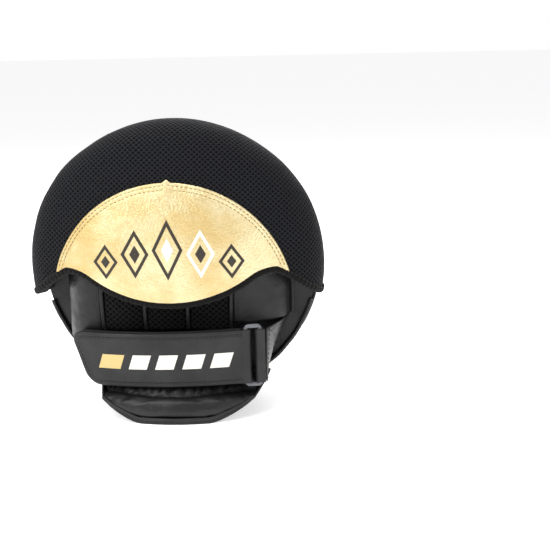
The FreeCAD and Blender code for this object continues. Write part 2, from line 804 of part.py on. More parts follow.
def sweep_angle(end, radius):
    """Angle on the strap's plan circle, from straight back, at which it reaches end to the left."""
    centre_x = "(bar_across - strap_curve * sin(ring_lean))"
    return f"asin(-({end} + {centre_x}) / {radius})"


def strap_band(first, last, inner, outer):
    """Plan outline of a length of strap between two angles and two radii."""
    return [
        strap_point(outer, last),
        (*strap_point(outer, first), outer),
        strap_point(inner, first),
        (*strap_point(inner, last), f"-{inner}"),
    ]


def leg_angle(leg):
    """Angle at which the strap is a distance past the ring bar."""
    return f"(ring_lean - {leg} / strap_curve * 180 / pi)"


def make_strap():
    """The strap's under layer, the flap that is folded back over it, and their hook and loop pile."""
    half = "strap_thick / 2"
    under = [f"(strap_curve - {STRAP_OFF} - {half})", f"(strap_curve - {STRAP_OFF} + {half})"]
    over = [f"(strap_curve + {STRAP_OFF} - {half})", f"(strap_curve + {STRAP_OFF} + {half})"]
    base = new_body("strap_base")
    ends = leg_angle("(hinge_leg + moving_gap)"), sweep_angle("base_end", under[0])
    pad(base, "XY_Plane", strap_band(*ends, *under), "strap_width", "strap_low")
    keep(base, "strap_base")

    flap = new_body("strap_flap")
    ends = leg_angle("hinge_leg"), sweep_angle("flap_top_end + tip_spare", over[0])
    pad(flap, "XY_Plane", strap_band(*ends, *over), "strap_width", "strap_low")
    slant = "((flap_top_end - flap_low_end) / strap_width)"
    beyond = "(flap_top_end + flap_low_end)"
    over_top, under_foot = f"strap_high + {CUT_MARGIN}", f"strap_low - {CUT_MARGIN}"
    tip = [
        ("-flap_low_end + flap_corner", under_foot),
        ("-flap_low_end + flap_corner", "strap_low"),
        (f"-flap_low_end - flap_corner * {slant} / 2", "strap_low + flap_corner", "-flap_corner"),
        (f"-flap_top_end + flap_corner * {slant} / 2", "strap_high - flap_corner"),
        ("-flap_top_end + flap_corner", "strap_high", "-flap_corner"),
        ("-flap_top_end + flap_corner", over_top),
        (f"-{beyond}", over_top),
        (f"-{beyond}", under_foot),
    ]
    cut_through(flap, "XZ_Plane", lambda s: draw(s, tip))
    keep(flap, "strap_flap")

    low, high = "strap_low + pile_inset", "strap_width - 2 * pile_inset"
    loop = new_body("loop_pile")
    band = [under[1], f"({under[1]} + pile_thick)"]
    ends = leg_angle("(hinge_leg + pile_start)"), sweep_angle("base_end - pile_stop", band[0])
    pad(loop, "XY_Plane", strap_band(*ends, *band), high, low)
    keep(loop, "loop_pile")
    hook = new_body("hook_pile")
    band = [f"({over[0]} - pile_thick)", over[0]]
    ends = "(0 - hook_start)", sweep_angle("flap_low_end - pile_stop", band[0])
    pad(hook, "XY_Plane", strap_band(*ends, *band), high, low)
    keep(hook, "hook_pile")


def make_ring():
    """The rectangular ring and the strap's turn round it, drawn along +X from the bar at the tab."""
    ring = new_body("strap_ring")
    path = new_sketch(ring, "XZ_Plane")
    low, high = "strap_low - strap_room / 2 - wire_round", "strap_high + strap_room / 2 + wire_round"
    bend, far = "ring_bend", "ring_reach - ring_bend"
    draw(path, [("0", f"{low} + ring_bend"), (bend, low, bend), (far, low),
                ("ring_reach", f"{low} + ring_bend", bend), ("ring_reach", f"{high} - ring_bend"),
                (far, high, bend), (bend, high), ("0", f"{high} - ring_bend", bend)])
    section = new_sketch(ring, "XY_Plane", f"({low} + {high}) / 2")
    draw_circle(section, ("0", "0"), "wire_round")
    doc.recompute()
    pipe = ring.newObject("PartDesign::AdditivePipe", "ring_pipe")
    pipe.Profile = section
    pipe.Spine = path
    keep(ring, "strap_ring")

    turn = new_body("strap_turn")
    inner, outer = "(wire_round + wire_gap)", "(wire_round + wire_gap + strap_thick)"
    reach = "ring_reach"
    pad(turn, "XY_Plane", [
        (reach, f"-{outer}"), (reach, f"-{inner}"), (f"{reach} - {inner}", "0", f"-{inner}"),
        (reach, inner, f"-{inner}"), (f"{reach} + hinge_leg", inner), (f"{reach} + hinge_leg", outer),
        (reach, outer), (f"{reach} - {outer}", "0", outer)], "strap_width", "strap_low")
    keep(turn, "strap_turn")

    collar = new_body("tab_loop")
    pad(collar, "XY_Plane", [
        ("-hinge_leg", f"-{inner}"), ("0", f"-{inner}"), (inner, "0", inner), ("0", inner, inner),
        ("-hinge_leg", inner), ("-hinge_leg", outer), ("0", outer), (outer, "0", f"-{outer}"),
        ("0", f"-{outer}", f"-{outer}"), ("-hinge_leg", f"-{outer}")], "strap_width", "strap_low")
    keep(collar, "tab_loop")
    return ring, turn, collar


PIVOT = ("(bar_across + ring_reach * cos(ring_lean))", "(ring_reach * sin(ring_lean) - bar_back)")


def loft(name, low_corners, high_corners, low, high):
    """A straight-sided sheet between two plan outlines at two heights."""
    body = new_body(name)
    first = new_sketch(body, "XY_Plane", low)
    draw(first, low_corners)
    second = new_sketch(body, "XY_Plane", high)
    draw(second, high_corners)
    doc.recompute()
    feature = body.newObject("PartDesign::AdditiveLoft", f"{name}_loft")
    feature.Profile = first
    feature.Sections = [second]
    feature.Ruled = True
    return keep(body, name)


def make_strap_leathers():
    """The leather that rises from the back panel to the ring on one side and to the strap on the other."""
    near_x = f"({PIVOT[0]} + (hinge_leg + wire_gap) * cos(ring_lean) + strap_thick)"
    near_y = f"({PIVOT[1]} + (hinge_leg + wire_gap) * sin(ring_lean))"

    def tab(seam):
        return [(f"{seam} - leather", "-seam_gap"), (f"{near_x} - leather", near_y),
                (near_x, f"{near_y} - leather"), (seam, "-seam_gap")]

    loft("ring_tab", tab("tab_low_seam"), tab("side_seam"), "strap_low", "strap_high")

    under = f"(strap_curve - {STRAP_OFF} - strap_thick / 2)"
    end = strap_point(under, sweep_angle("base_end", under))

    def anchor(seam):
        return [(f"-({seam})", "-seam_gap"), (f"{end[0]} - leather", f"{end[1]} + seam_gap / 2"),
                (end[0], f"{end[1]} + 2 * seam_gap"), (f"-({seam} - leather)", "-seam_gap")]

    low_seam, high_seam = "tab_low_seam - anchor_low_inset", "thumb_seam - anchor_high_inset"
    loft("strap_anchor", anchor(low_seam), anchor(high_seam), "strap_low", "thumb_low - moving_gap")


# ---------------------------------------------------------------- wrist cuff


def cuff_outline(radius, low, high):
    """The cuff seen from behind: a round cut flat by its foot and by its top."""
    centre = "(cuff_radius - cuff_sink - stand_height)"
    bottom, top = f"{low} - stand_height", f"{high} - stand_height"
    foot = f"sqrt({radius}^2 - ({centre} - ({bottom}))^2)"
    side = f"sqrt({radius}^2 - ({centre} - ({top}))^2)"
    return [(f"-({foot})", bottom, radius), (foot, bottom), (side, top, radius), (f"-({side})", top)]


def cuff_body(name, corners, start, reach):
    """A length of the cuff, with its front rounded in plan."""
    body = new_body(name)
    pad(body, "XZ_Plane", corners, f"{reach} - {start}", start)
    side = "cuff_radius"
    back = f"-({reach} - (cuff_front - sqrt(cuff_front^2 - {side}^2)))"
    front = [(f"-{side}", back), (side, back, "cuff_front"), (side, f"-{reach} - {CUT_MARGIN}"),
             (f"-{side}", f"-{reach} - {CUT_MARGIN}")]
    cut_through(body, "XY_Plane", lambda s: draw(s, front))
    return keep(body, name)


def make_cuff():
    """The wrist cuff: a leather shell under a padded cushion, and the foam inside the cushion."""
    cuff_body("cuff_shell", cuff_outline("cuff_radius", "0", "shell_thick"), "cuff_start", "cuff_reach")
    round_inner = "(cuff_radius - cover_thick)"
    low = "(shell_thick + seam_gap)"
    outline = cuff_outline(round_inner, low, "cuff_top")
    solid = cuff_body("cushion_solid", outline, "cuff_start", "cuff_reach - cuff_inset")
    core_radius = "(cuff_radius - 2 * cover_thick)"
    outline = cuff_outline(core_radius, f"({low} + cover_thick)", "(cuff_top - cover_thick)")
    ends = "(cuff_start + cover_thick)", "(cuff_reach - cuff_inset - cover_thick)"
    core = cuff_body("cuff_foam", outline, *ends)
    subparts.remove(solid)
    cover = doc.addObject("Part::Cut", "cuff_cushion")
    cover.Base, cover.Tool = solid, core
    keep(cover, "cuff_cushion")
    flange = new_body("cuff_flange")
    low, high = "flange_low - stand_height", "flange_high - stand_height"
    pad(flange, "XZ_Plane", [("-flange_half", low), ("flange_half", low), ("flange_half", high),
                             ("-flange_half", high)],
        "cuff_start - 2 * roll_round - 2 * seam_gap - moving_gap", "2 * roll_round + seam_gap + moving_gap")
    keep(flange, "cuff_flange")
    return solid


# ---------------------------------------------------------------- assembly


def place_all(welt, balls, ring_pieces, cuff_blank):
    """Stands every sub-part in the mitt's frame."""
    special = (welt, *balls, *ring_pieces)
    blanks = [doc.getObject("hood_blank"), doc.getObject("tape_wrap"), cuff_blank]
    for item in subparts + blanks:
        if item.TypeId == "PartDesign::Body" and item not in special:
            seat(item)
    seat(doc.getObject("lace"))
    seat(welt, ("0", f"{RIM_Y} + welt_ahead", "0"), ((1, 0, 0), "90"))
    for ball in balls:
        seat(ball, ("0", "0", "-ball_drop"))
    for piece in ring_pieces:
        seat(piece, (PIVOT[0], PIVOT[1], "0"), ((0, 0, 1), "180 + ring_lean"))


def main():
    make_face()
    make_foam()
    make_wall()
    welt = make_welts()
    make_lace()
    make_hood()
    make_vault()
    make_pocket_sides()
    balls = make_palm_ball()
    make_strap()
    ring_pieces = make_ring()
    make_strap_leathers()
    cuff_blank = make_cuff()
    doc.recompute()
    place_all(welt, balls, ring_pieces, cuff_blank)
    doc.recompute()
    check_and_export()


def check_and_export():
    """Refuses a failed feature or a bad solid, then writes one STEP file for each sub-part."""
    for item in doc.Objects:
        if {"Invalid", "Error"} & set(item.State):
            raise ValueError(f"{item.Name} failed: {item.State}")
    os.makedirs("parts", exist_ok=True)
    for item in subparts:
        shape = item.Shape
        if shape.isNull() or not shape.isValid() or not shape.Solids:
            raise ValueError(f"{item.Label} has no valid solid")
        shape.exportStep(os.path.join("parts", f"{item.Label}.step"))
        print(f"{item.Label}: {len(shape.Solids)} solids, {shape.Volume:.0f} mm3")


main()
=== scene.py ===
"""Focus mitt: the looks of a round striking pad with a hooded hand pocket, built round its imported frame.

Shapes are worked out in millimetres about the pad's own centre, with X to the right as the back is seen,
+Y out of the striking face and +Z up. Layout turns them into the frame's metres.
"""

import json
import logging
import math
from abc import ABC, abstractmethod
from dataclasses import dataclass, field
from enum import Enum
from typing import Callable, Sequence

import bmesh
import bpy
import numpy as np
from mathutils import Matrix, Vector, noise


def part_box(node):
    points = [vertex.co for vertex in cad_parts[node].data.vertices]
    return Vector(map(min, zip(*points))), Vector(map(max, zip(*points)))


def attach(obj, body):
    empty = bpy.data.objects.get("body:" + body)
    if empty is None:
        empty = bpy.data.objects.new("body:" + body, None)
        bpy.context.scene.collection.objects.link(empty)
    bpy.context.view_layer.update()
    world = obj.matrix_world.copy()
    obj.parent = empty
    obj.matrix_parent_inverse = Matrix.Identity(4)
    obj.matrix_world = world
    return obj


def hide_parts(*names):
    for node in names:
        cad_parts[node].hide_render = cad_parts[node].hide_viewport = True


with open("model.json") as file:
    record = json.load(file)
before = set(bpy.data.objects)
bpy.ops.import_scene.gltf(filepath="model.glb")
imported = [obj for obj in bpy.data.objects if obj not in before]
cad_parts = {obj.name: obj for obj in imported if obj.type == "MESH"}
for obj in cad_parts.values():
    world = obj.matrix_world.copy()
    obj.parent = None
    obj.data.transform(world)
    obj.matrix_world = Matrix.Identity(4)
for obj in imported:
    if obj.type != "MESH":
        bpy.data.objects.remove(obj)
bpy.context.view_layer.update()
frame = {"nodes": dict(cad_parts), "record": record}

LOG = logging.getLogger("focus_mitt")
MM = 0.001
SOCKET = bpy.types.NodeSocket
Tree = bpy.types.NodeTree
Node = bpy.types.Node
Piece = bpy.types.Object
Grid = np.ndarray  # points, or a value for each point
Pair = tuple[float, float]


class Body(Enum):
    """Rigid groups that pieces ride on."""

    PAD = "pad"
    RING = "ring"
    FLAP = "flap"
    CUFF = "cuff"


# ------------------------------------------------------------------ nodes and colours


def linear(hex_text: str) -> tuple[float, float, float, float]:
    """Turns an sRGB hex colour into linear light.

    Args:
        hex_text: six hex digits, with or without a leading #.

    Returns:
        Red, green, blue and an alpha of 1.
    """
    digits = hex_text.lstrip("#")
    parts = [int(digits[i:i + 2], 16) / 255 for i in (0, 2, 4)]
    light = [p / 12.92 if p <= 0.04045 else ((p + 0.055) / 1.055) ** 2.4 for p in parts]
    return (*light, 1.0)


def feed(tree: Tree, node: Node, inputs: dict) -> None:
    """Gives a node's inputs their values, or the output sockets that feed them.

    Args:
        tree: the node tree.
        node: the node.
        inputs: socket name or number to a value or an output socket.
    """
    for key, given in inputs.items():
        socket = node.inputs[key]
        if isinstance(given, SOCKET):
            tree.links.new(given, socket)
        else:
            socket.default_value = given


def add(tree: Tree, kind: str, inputs: dict | None = None, **settings: object) -> Node:
    """Adds one node with its settings and its inputs.

    Args:
        tree: the node tree.
        kind: the node's type name.
        inputs: socket name or number to a value, or to the output socket that feeds it.
        **settings: properties of the node.

    Returns:
        The node.
    """
    node = tree.nodes.new(kind)
    for name, setting in settings.items():
        setattr(node, name, setting)
    feed(tree, node, inputs or {})
    return node


def compute(tree: Tree, operation: str, *given: SOCKET | float) -> SOCKET:
    """Works out a value from others with one math node."""
    return add(tree, "ShaderNodeMath", dict(enumerate(given)), operation=operation).outputs[0]


def speckle(tree: Tree, where: SOCKET, size_mm: float, detail: float, **more: float) -> Node:
    """Adds a noise texture whose patches have a size in millimetres."""
    inputs = {"Vector": where, "Scale": 1 / (size_mm * MM), "Detail": detail}
    return add(tree, "ShaderNodeTexNoise", inputs | more)


def emboss(tree: Tree, strength: float, depth_mm: float, height: SOCKET) -> SOCKET:
    """Turns a height into a bumped normal."""
    inputs = {"Strength": strength, "Distance": depth_mm * MM, "Height": height}
    return add(tree, "ShaderNodeBump", inputs).outputs[0]


def reshape(tree: Tree, given: SOCKET, low: float, high: float, to_low: float,
            to_high: float) -> SOCKET:
    """Maps a range of a value smoothly onto another range.

    Args:
        tree: the node tree.
        given: the value.
        low: value that gives to_low.
        high: value that gives to_high.
        to_low: result at low.
        to_high: result at high.

    Returns:
        The mapped value.
    """
    node = add(tree, "ShaderNodeMapRange",
               {"Value": given, "From Min": low, "From Max": high, "To Min": to_low, "To Max": to_high},
               interpolation_type="SMOOTHSTEP")
    return node.outputs["Result"]


def blend_colours(tree: Tree, share: SOCKET, first: SOCKET | tuple, second: SOCKET | tuple) -> SOCKET:
    """Mixes two colours by a share.

    Args:
        tree: the node tree.
        share: 0 for the first colour, 1 for the second.
        first: a colour or its socket.
        second: a colour or its socket.

    Returns:
        The mixed colour.
    """
    return add(tree, "ShaderNodeMix", {"Factor": share, 6: first, 7: second}, data_type="RGBA").outputs[2]


# ------------------------------------------------------------------ finishes


@dataclass(frozen=True)
class Finish(ABC):
    """A material named for what the real surface is."""

    name: str

    @abstractmethod
    def paint(self, tree: Tree, shader: Node) -> None:
        """Wires the surface's detail into the shader."""

    def material(self) -> bpy.types.Material:
        """Makes the material once and hands out the same one afterwards."""
        made = bpy.data.materials.get(self.name)
        if made is None:
            made = bpy.data.materials.new(self.name)
            made.use_nodes = True
            shader = made.node_tree.nodes["Principled BSDF"]
            self.paint(made.node_tree, shader)
            LOG.info("finish %s", self.name)
        return made


@dataclass(frozen=True)
class Leather(Finish):
    """Split leather under a rolled-on polyurethane skin: pebbled grain, fine creases, a soft broad gloss."""

    colour: str = "#131314"
    # colour of the duller worn patches, and of the painted shade between the pebbles
    deep: str = "#070708"
    metallic: float = 0.0
    roughness: float = 0.44
    grain_mm: float = 1.5  # real grain is about 0.8 mm: drawn coarser so that it shows
    relief: float = 0.25
    crease: float = 0.3
    cloud_mm: float = 32.0  # size of the patches where the skin is worn a little duller
    specular: float = 0.4

    def paint(self, tree: Tree, shader: Node) -> None:
        """Wires grain, creases, worn patches and painted shade in the grain's hollows into the shader."""
        where = add(tree, "ShaderNodeTexCoord").outputs["Object"]
        cells = add(tree, "ShaderNodeTexVoronoi", {"Vector": where, "Scale": 1 / (self.grain_mm * MM),
                                                   "Smoothness": 0.5}, feature="SMOOTH_F1")
        clouds = speckle(tree, where, self.cloud_mm, 5.0, Roughness=0.6).outputs["Fac"]
        folds = speckle(tree, where, 9, 4.0, Distortion=1.6).outputs["Fac"]
        ridge = compute(tree, "ABSOLUTE", compute(tree, "SUBTRACT", folds, 0.5))
        groove = reshape(tree, ridge, 0.0, 0.05, 0.0, 1.0)
        pebble = reshape(tree, cells.outputs["Distance"], 0.15, 0.75, 1.0, 0.0)
        height = compute(tree, "MULTIPLY_ADD", groove, self.crease, pebble)
        bump = emboss(tree, self.relief, 0.35, height)
        worn = reshape(tree, clouds, 0.35, 0.68, 0.0, 1.0)
        tone = blend_colours(tree, worn, linear(self.colour), linear(self.deep))
        # painted shade: the pebbles' borders, the grain's hollows, are darkened towards deep
        tone = blend_colours(tree, reshape(tree, pebble, 0.0, 0.35, 0.28, 0.0), tone, linear(self.deep))
        gloss = reshape(tree, clouds, 0.3, 0.7, self.roughness - 0.05, self.roughness + 0.09)
        feed(tree, shader, {"Base Color": tone, "Roughness": gloss, "Normal": bump,
                            "Metallic": self.metallic, "Specular IOR Level": self.specular})


@dataclass(frozen=True)
class SpacerMesh(Finish):
    """Knitted polyester spacer fabric: soft ribs round staggered open eyes, dull with a faint bloom; the
    eyes are painted black as the shade inside them.
    """

    rib: str = "#1b1c21"
    # black painted into the eyes as the shade inside them; the ribs' fuzz also mixes towards it
    eye_shade: str = "#000000"
    across_mm: float = 4.2
    along_mm: float = 3.8
    open_share: float = 0.08

    def paint(self, tree: Tree, shader: Node) -> None:
        """Wires the net's ribs and the painted shade of its eyes into the shader, on the piece's own map."""
        flat = add(tree, "ShaderNodeUVMap", uv_map="UVMap").outputs["UV"]
        wander = speckle(tree, flat, 14, 2.0).outputs["Color"]
        moved = wander
        for operation, inputs in (("SUBTRACT", {1: (0.5, 0.5, 0.5)}), ("SCALE", {"Scale": 0.9 * MM}),
                                  ("ADD", {1: flat})):
            moved = add(tree, "ShaderNodeVectorMath", {0: moved} | inputs, operation=operation).outputs[0]
        split = add(tree, "ShaderNodeSeparateXYZ", {0: moved}).outputs
        waves = [compute(tree, "COSINE", compute(tree, "MULTIPLY", split[axis], 2 * math.pi / (pitch * MM)))
                 for axis, pitch in (("X", self.across_mm), ("Y", self.along_mm))]
        net = compute(tree, "MULTIPLY", *waves)
        hole = reshape(tree, net, self.open_share, self.open_share + 0.4, 0.0, 1.0)
        fuzz = speckle(tree, flat, 0.7, 3.0).outputs["Fac"]
        rib = blend_colours(tree, fuzz, linear(self.eye_shade), linear(self.rib))
        rib = blend_colours(tree, reshape(tree, fuzz, 0.4, 0.75, 0.35, 1.0), rib, linear(self.rib))
        # painted shade: the open eyes are coloured black for the shade inside them
        tone = blend_colours(tree, hole, rib, linear(self.eye_shade))
        height = reshape(tree, net, -0.4, self.open_share + 0.4, 1.0, 0.0)
        height = compute(tree, "MULTIPLY_ADD", fuzz, 0.15, height)
        feed(tree, shader, {"Base Color": tone, "Normal": emboss(tree, 0.9, 0.9, height),
                            "Roughness": reshape(tree, hole, 0.0, 1.0, 0.72, 1.0), "Sheen Weight": 0.04,
                            "Sheen Roughness": 0.4, "Specular IOR Level": 0.16})


@dataclass(frozen=True)
class WovenCloth(Finish):
    """Woven polyester tape or lining: crossed yarns, dull, with a fuzzy bloom at grazing angles."""

    colour: str = "#110f0e"
    # colour of the painted shade where the yarns dip
    deep: str = "#060505"
    yarn_mm: float = 1.1
    roughness: float = 0.85
    sheen: float = 0.06

    def paint(self, tree: Tree, shader: Node) -> None:
        """Wires crossed yarns, with painted shade where they dip, into the shader, on the piece's own map.
        """
        flat = add(tree, "ShaderNodeUVMap", uv_map="UVMap").outputs["UV"]
        split = add(tree, "ShaderNodeSeparateXYZ", {0: flat}).outputs
        turns = 2 * math.pi / (self.yarn_mm * MM)
        yarns = [compute(tree, "SINE", compute(tree, "MULTIPLY", split[axis], turns)) for axis in ("X", "Y")]
        weave = compute(tree, "MULTIPLY", *yarns)
        fuzz = speckle(tree, flat, 0.5, 4.0).outputs["Fac"]
        height = compute(tree, "MULTIPLY_ADD", fuzz, 0.6, weave)
        bump = emboss(tree, 0.5, 0.3, height)
        # painted shade: the colour follows the weave's height, darker where the yarns dip under
        share = reshape(tree, height, -0.7, 1.2, 0.0, 1.0)
        feed(tree, shader, {"Base Color": blend_colours(tree, share, linear(self.deep), linear(self.colour)),
                            "Normal": bump, "Roughness": self.roughness, "Sheen Weight": self.sheen,
                            "Sheen Roughness": 0.5, "Specular IOR Level": 0.15})


@dataclass(frozen=True)
class PrintedInk(Finish):
    """Screen ink over pebbled leather: flat and even, a little cracked where the leather flexes."""

    colour: str = "#ece7de"
    worn: str = "#b9a77d"
    roughness: float = 0.5

    def paint(self, tree: Tree, shader: Node) -> None:
        """Wires the leather's grain and the ink's wear into the shader."""
        where = add(tree, "ShaderNodeTexCoord").outputs["Object"]
        cells = add(tree, "ShaderNodeTexVoronoi", {"Vector": where, "Scale": 1 / (1.5 * MM)},
                    feature="SMOOTH_F1")
        specks = speckle(tree, where, 1.2, 4.0).outputs["Fac"]
        clouds = speckle(tree, where, 20, 3.0).outputs["Fac"]
        wear = reshape(tree, compute(tree, "MULTIPLY", specks, clouds), 0.3, 0.5, 0.0, 0.55)
        feed(tree, shader, {"Base Color": blend_colours(tree, wear, linear(self.colour), linear(self.worn)),
                            "Normal": emboss(tree, 0.18, 0.3, cells.outputs["Distance"]),
                            "Roughness": reshape(tree, clouds, 0.3, 0.7, self.roughness - 0.06,
                                                 self.roughness + 0.08)})


@dataclass(frozen=True)
class MouldedPlastic(Finish):
    """Injection-moulded acetal: even colour, faint spark-eroded texture, rubbed glossier in places."""

    colour: str = "#74767a"
    deep: str = "#5d5f63"

    def paint(self, tree: Tree, shader: Node) -> None:
        """Wires the mould texture and the rubbed patches into the shader."""
        where = add(tree, "ShaderNodeTexCoord").outputs["Object"]
        grit = speckle(tree, where, 0.6, 3.0).outputs["Fac"]
        rub = speckle(tree, where, 8, 3.0).outputs["Fac"]
        bump = emboss(tree, 0.12, 0.1, grit)
        feed(tree, shader, {"Base Color": blend_colours(tree, rub, linear(self.colour), linear(self.deep)),
                            "Roughness": reshape(tree, rub, 0.35, 0.65, 0.28, 0.45), "Normal": bump,
                            "IOR": 1.48})


@dataclass(frozen=True)
class Fibres(Finish):
    """Sewing thread, touch-fastener pile, foam or fibre board: a rough surface of small random relief."""

    colour: str = "#1b1b1c"
    deep: str = "#0b0b0b"
    grit_mm: float = 0.8
    relief: float = 0.5
    roughness: float = 0.8
    sheen: float = 0.1
    glow: float = 0.0  # light of its own, for paper that is lit from behind

    def paint(self, tree: Tree, shader: Node) -> None:
        """Wires the small relief and its shading into the shader."""
        where = add(tree, "ShaderNodeTexCoord").outputs["Object"]
        grit = speckle(tree, where, self.grit_mm, 5.0, Roughness=0.65).outputs["Fac"]
        share = reshape(tree, grit, 0.35, 0.65, 0.0, 1.0)
        bump = emboss(tree, self.relief, 0.4 * self.grit_mm, grit)
        feed(tree, shader, {"Base Color": blend_colours(tree, share, linear(self.deep), linear(self.colour)),
                            "Normal": bump, "Roughness": self.roughness, "Sheen Weight": self.sheen,
                            "Emission Color": linear(self.colour), "Emission Strength": self.glow})


# gold-foiled leather: the foil is metal, the clear skin over it keeps its gloss broad
GOLD_FOIL = Leather("gold_foiled_leather", colour="#dcc692", deep="#c6a76c", metallic=0.7, roughness=0.42,
                    grain_mm=1.7, relief=0.55, crease=0.1, cloud_mm=55)
# the badge's leather lies on soft padding, so its grain is a little opener; its paler colour is painted
# highlight, a lighter copy of the gold foil for the lit badge
BADGE_FOIL_LIT = Leather("gold_badge_leather_lit", colour="#e6d7ac", deep="#d0b67b", metallic=0.6, roughness=0.4,
                     grain_mm=1.5, relief=0.6, crease=0.05, cloud_mm=45)
BLACK_HIDE = Leather("black_coated_leather")
# cut for lacing: waxed, so it is smoother and glossier than the wall
LACE_HIDE = Leather("waxed_lace_leather", colour="#101011", deep="#070707", roughness=0.36, grain_mm=1.0,
                    relief=0.15, crease=0.2)
CUFF_HIDE = Leather("black_cuff_leather", colour="#19191a", deep="#0c0c0d", roughness=0.42,
                    relief=0.2)
# strap leather is pressed flat and coated thicker, so it is smoother and a shade greyer
STRAP_HIDE = Leather("black_strap_leather", colour="#222223", deep="#19191a", roughness=0.5, grain_mm=1.2,
                     relief=0.14, crease=0.05)
# glove-soft leather of the thumb sleeve: thinner coat, sharper gloss, more creases
SOFT_HIDE = Leather("black_glove_leather", colour="#161617", deep="#0a0a0b", roughness=0.36, relief=0.2,
                    crease=0.35)
HOOD_NET = SpacerMesh("black_spacer_mesh")
KNUCKLE_NET = SpacerMesh("black_open_spacer_mesh", rib="#161617", across_mm=5.0, along_mm=4.4,
                         open_share=0.02)
EDGE_TAPE = WovenCloth("black_binding_tape")
LINING = WovenCloth("black_lining_cloth", colour="#121315", deep="#070708", yarn_mm=1.6)
WHITE_INK = PrintedInk("white_screen_ink")
BLACK_INK = PrintedInk("black_screen_ink", colour="#0c0b0b", worn="#1d1a15", roughness=0.42)
BROWN_INK = PrintedInk("brown_screen_ink", colour="#2b231a", worn="#4a3c24")
GOLD_INK = PrintedInk("gold_screen_ink", colour="#cfb777", worn="#a58b50", roughness=0.4)
GREY_ACETAL = MouldedPlastic("grey_moulded_acetal")
BLACK_THREAD = Fibres("black_bonded_thread", colour="#1c1c1d", deep="#0c0c0d", grit_mm=0.5, relief=0.4,
                      roughness=0.6)
BROWN_THREAD = Fibres("bronze_bonded_thread", colour="#7d6736", deep="#4f3f20", grit_mm=0.5, relief=0.4,
                      roughness=0.55)
TOUCH_PILE = Fibres("touch_fastener_pile", colour="#1f1f20", deep="#090909", grit_mm=1.0, relief=1.0,
                    roughness=0.9, sheen=0.3)
GREY_FOAM = Fibres("closed_cell_foam", colour="#6a6a6d", deep="#505054", grit_mm=1.4, relief=0.6,
                   roughness=0.9)
FIBRE_BOARD = Fibres("pressed_fibre_board", colour="#7f6a4c", deep="#66543b", grit_mm=2.2, relief=0.3)
PALE_PAPER = Fibres("pale_studio_paper", colour="#f3f3f3", deep="#efefef", grit_mm=3.0, relief=0.02,
                    roughness=0.75, sheen=0.0, glow=0.6)


# ------------------------------------------------------------------ shapes


@dataclass(frozen=True)
class Layout:
    """Where the pad stands in the frame, and its radii, in millimetres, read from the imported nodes."""

    back_y: float
    centre_z: float
    rear_radius: float
    face_radius: float
    crest_y: float
    hood_radius: float
    crown_depth: float

    @classmethod
    def read(cls) -> "Layout":
        """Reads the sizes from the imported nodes' boxes."""
        back, face, hood = (np.array(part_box(n)) / MM for n in ("back_panel", "face_panel", "hood_mesh"))
        return cls(back_y=back[0][1], centre_z=(back[0][2] + back[1][2]) / 2,
                   rear_radius=(back[1][0] - back[0][0]) / 2,
                   face_radius=(face[1][2] - face[0][2]) / 2, crest_y=face[1][1] - back[0][1],
                   hood_radius=(hood[1][0] - hood[0][0]) / 2, crown_depth=back[0][1] - hood[0][1])

    def box(self, node: str) -> tuple[Grid, Grid]:
        """Gives a node's box in millimetres about the pad's centre.

        Args:
            node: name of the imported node.

        Returns:
            Its lowest and its highest corner.
        """
        low, high = np.array(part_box(node)) / MM
        shift = np.array([0.0, self.back_y, self.centre_z])
        return low - shift, high - shift

    def to_frame(self, points: Grid) -> Grid:
        """Turns millimetres about the pad's centre into metres in the frame."""
        return (points + np.array([0.0, self.back_y, self.centre_z])) * MM


def stack(*parts: Grid | float) -> Grid:
    """Joins coordinates of one shape into points."""
    return np.stack(np.broadcast_arrays(*parts), axis=-1).astype(float)


def unit(vectors: Grid) -> Grid:
    """Scales vectors to length 1."""
    return vectors / np.maximum(np.linalg.norm(vectors, axis=-1, keepdims=True), 1e-12)


def full_turn(count: int) -> Grid:
    """Gives even angles once round, in radians, without the one that closes the turn."""
    return np.linspace(0, 2 * math.pi, count + 1)[:-1]


def polar(length: Grid, turn: Grid) -> Grid:
    """Points of a plane from their distance and their angle."""
    return stack(length * np.cos(turn), length * np.sin(turn))


def around(turn: Grid, y: Grid | float, radius: Grid | float) -> Grid:
    """Points round the pad's axis; turn runs in radians from straight down towards +X."""
    return stack(radius * np.sin(turn), y, -radius * np.cos(turn))


def from_axis(points: Grid) -> Grid:
    """Directions from the pad's axis to points."""
    return unit(points * np.array([1.0, 0.0, 1.0]))


def upright(plan: Grid, z: Grid) -> Grid:
    """Stands a line in plan up into rows of points at heights."""
    return stack(plan[None, :, 0] + 0 * z, plan[None, :, 1] + 0 * z, z + 0 * plan[None, :, 0])


def lengths(path: Grid) -> Grid:
    """Length along a path at each of its points."""
    return np.concatenate([[0.0], np.cumsum(np.linalg.norm(np.diff(path, axis=0), axis=1))])


def grid_normals(grid: Grid, wrap: bool = False) -> Grid:
    """Finds the normals of a grid of points.

    Args:
        grid: rows by columns of points.
        wrap: whether the last column meets the first.

    Returns:
        One normal for each point, along the cross product of columns and rows.
    """
    if wrap:
        wide = np.concatenate([grid[:, -1:], grid, grid[:, :1]], axis=1)
        across = np.gradient(wide, axis=1)[:, 1:-1]
    else:
        across = np.gradient(grid, axis=1)
    return unit(np.cross(across, np.gradient(grid, axis=0)))


def rough(points: Grid, size: float, seed: float) -> Grid:
    """Smooth noise between about -1 and 1.

    Args:
        points: any array of points, in millimetres.
        size: size of its bumps, in millimetres.
        seed: moves the pattern.

    Returns:
        One value for each point.
    """
    flat = points.reshape(-1, 3) / size + seed
    return np.array([noise.noise(Vector(p)) for p in flat]).reshape(points.shape[:-1])


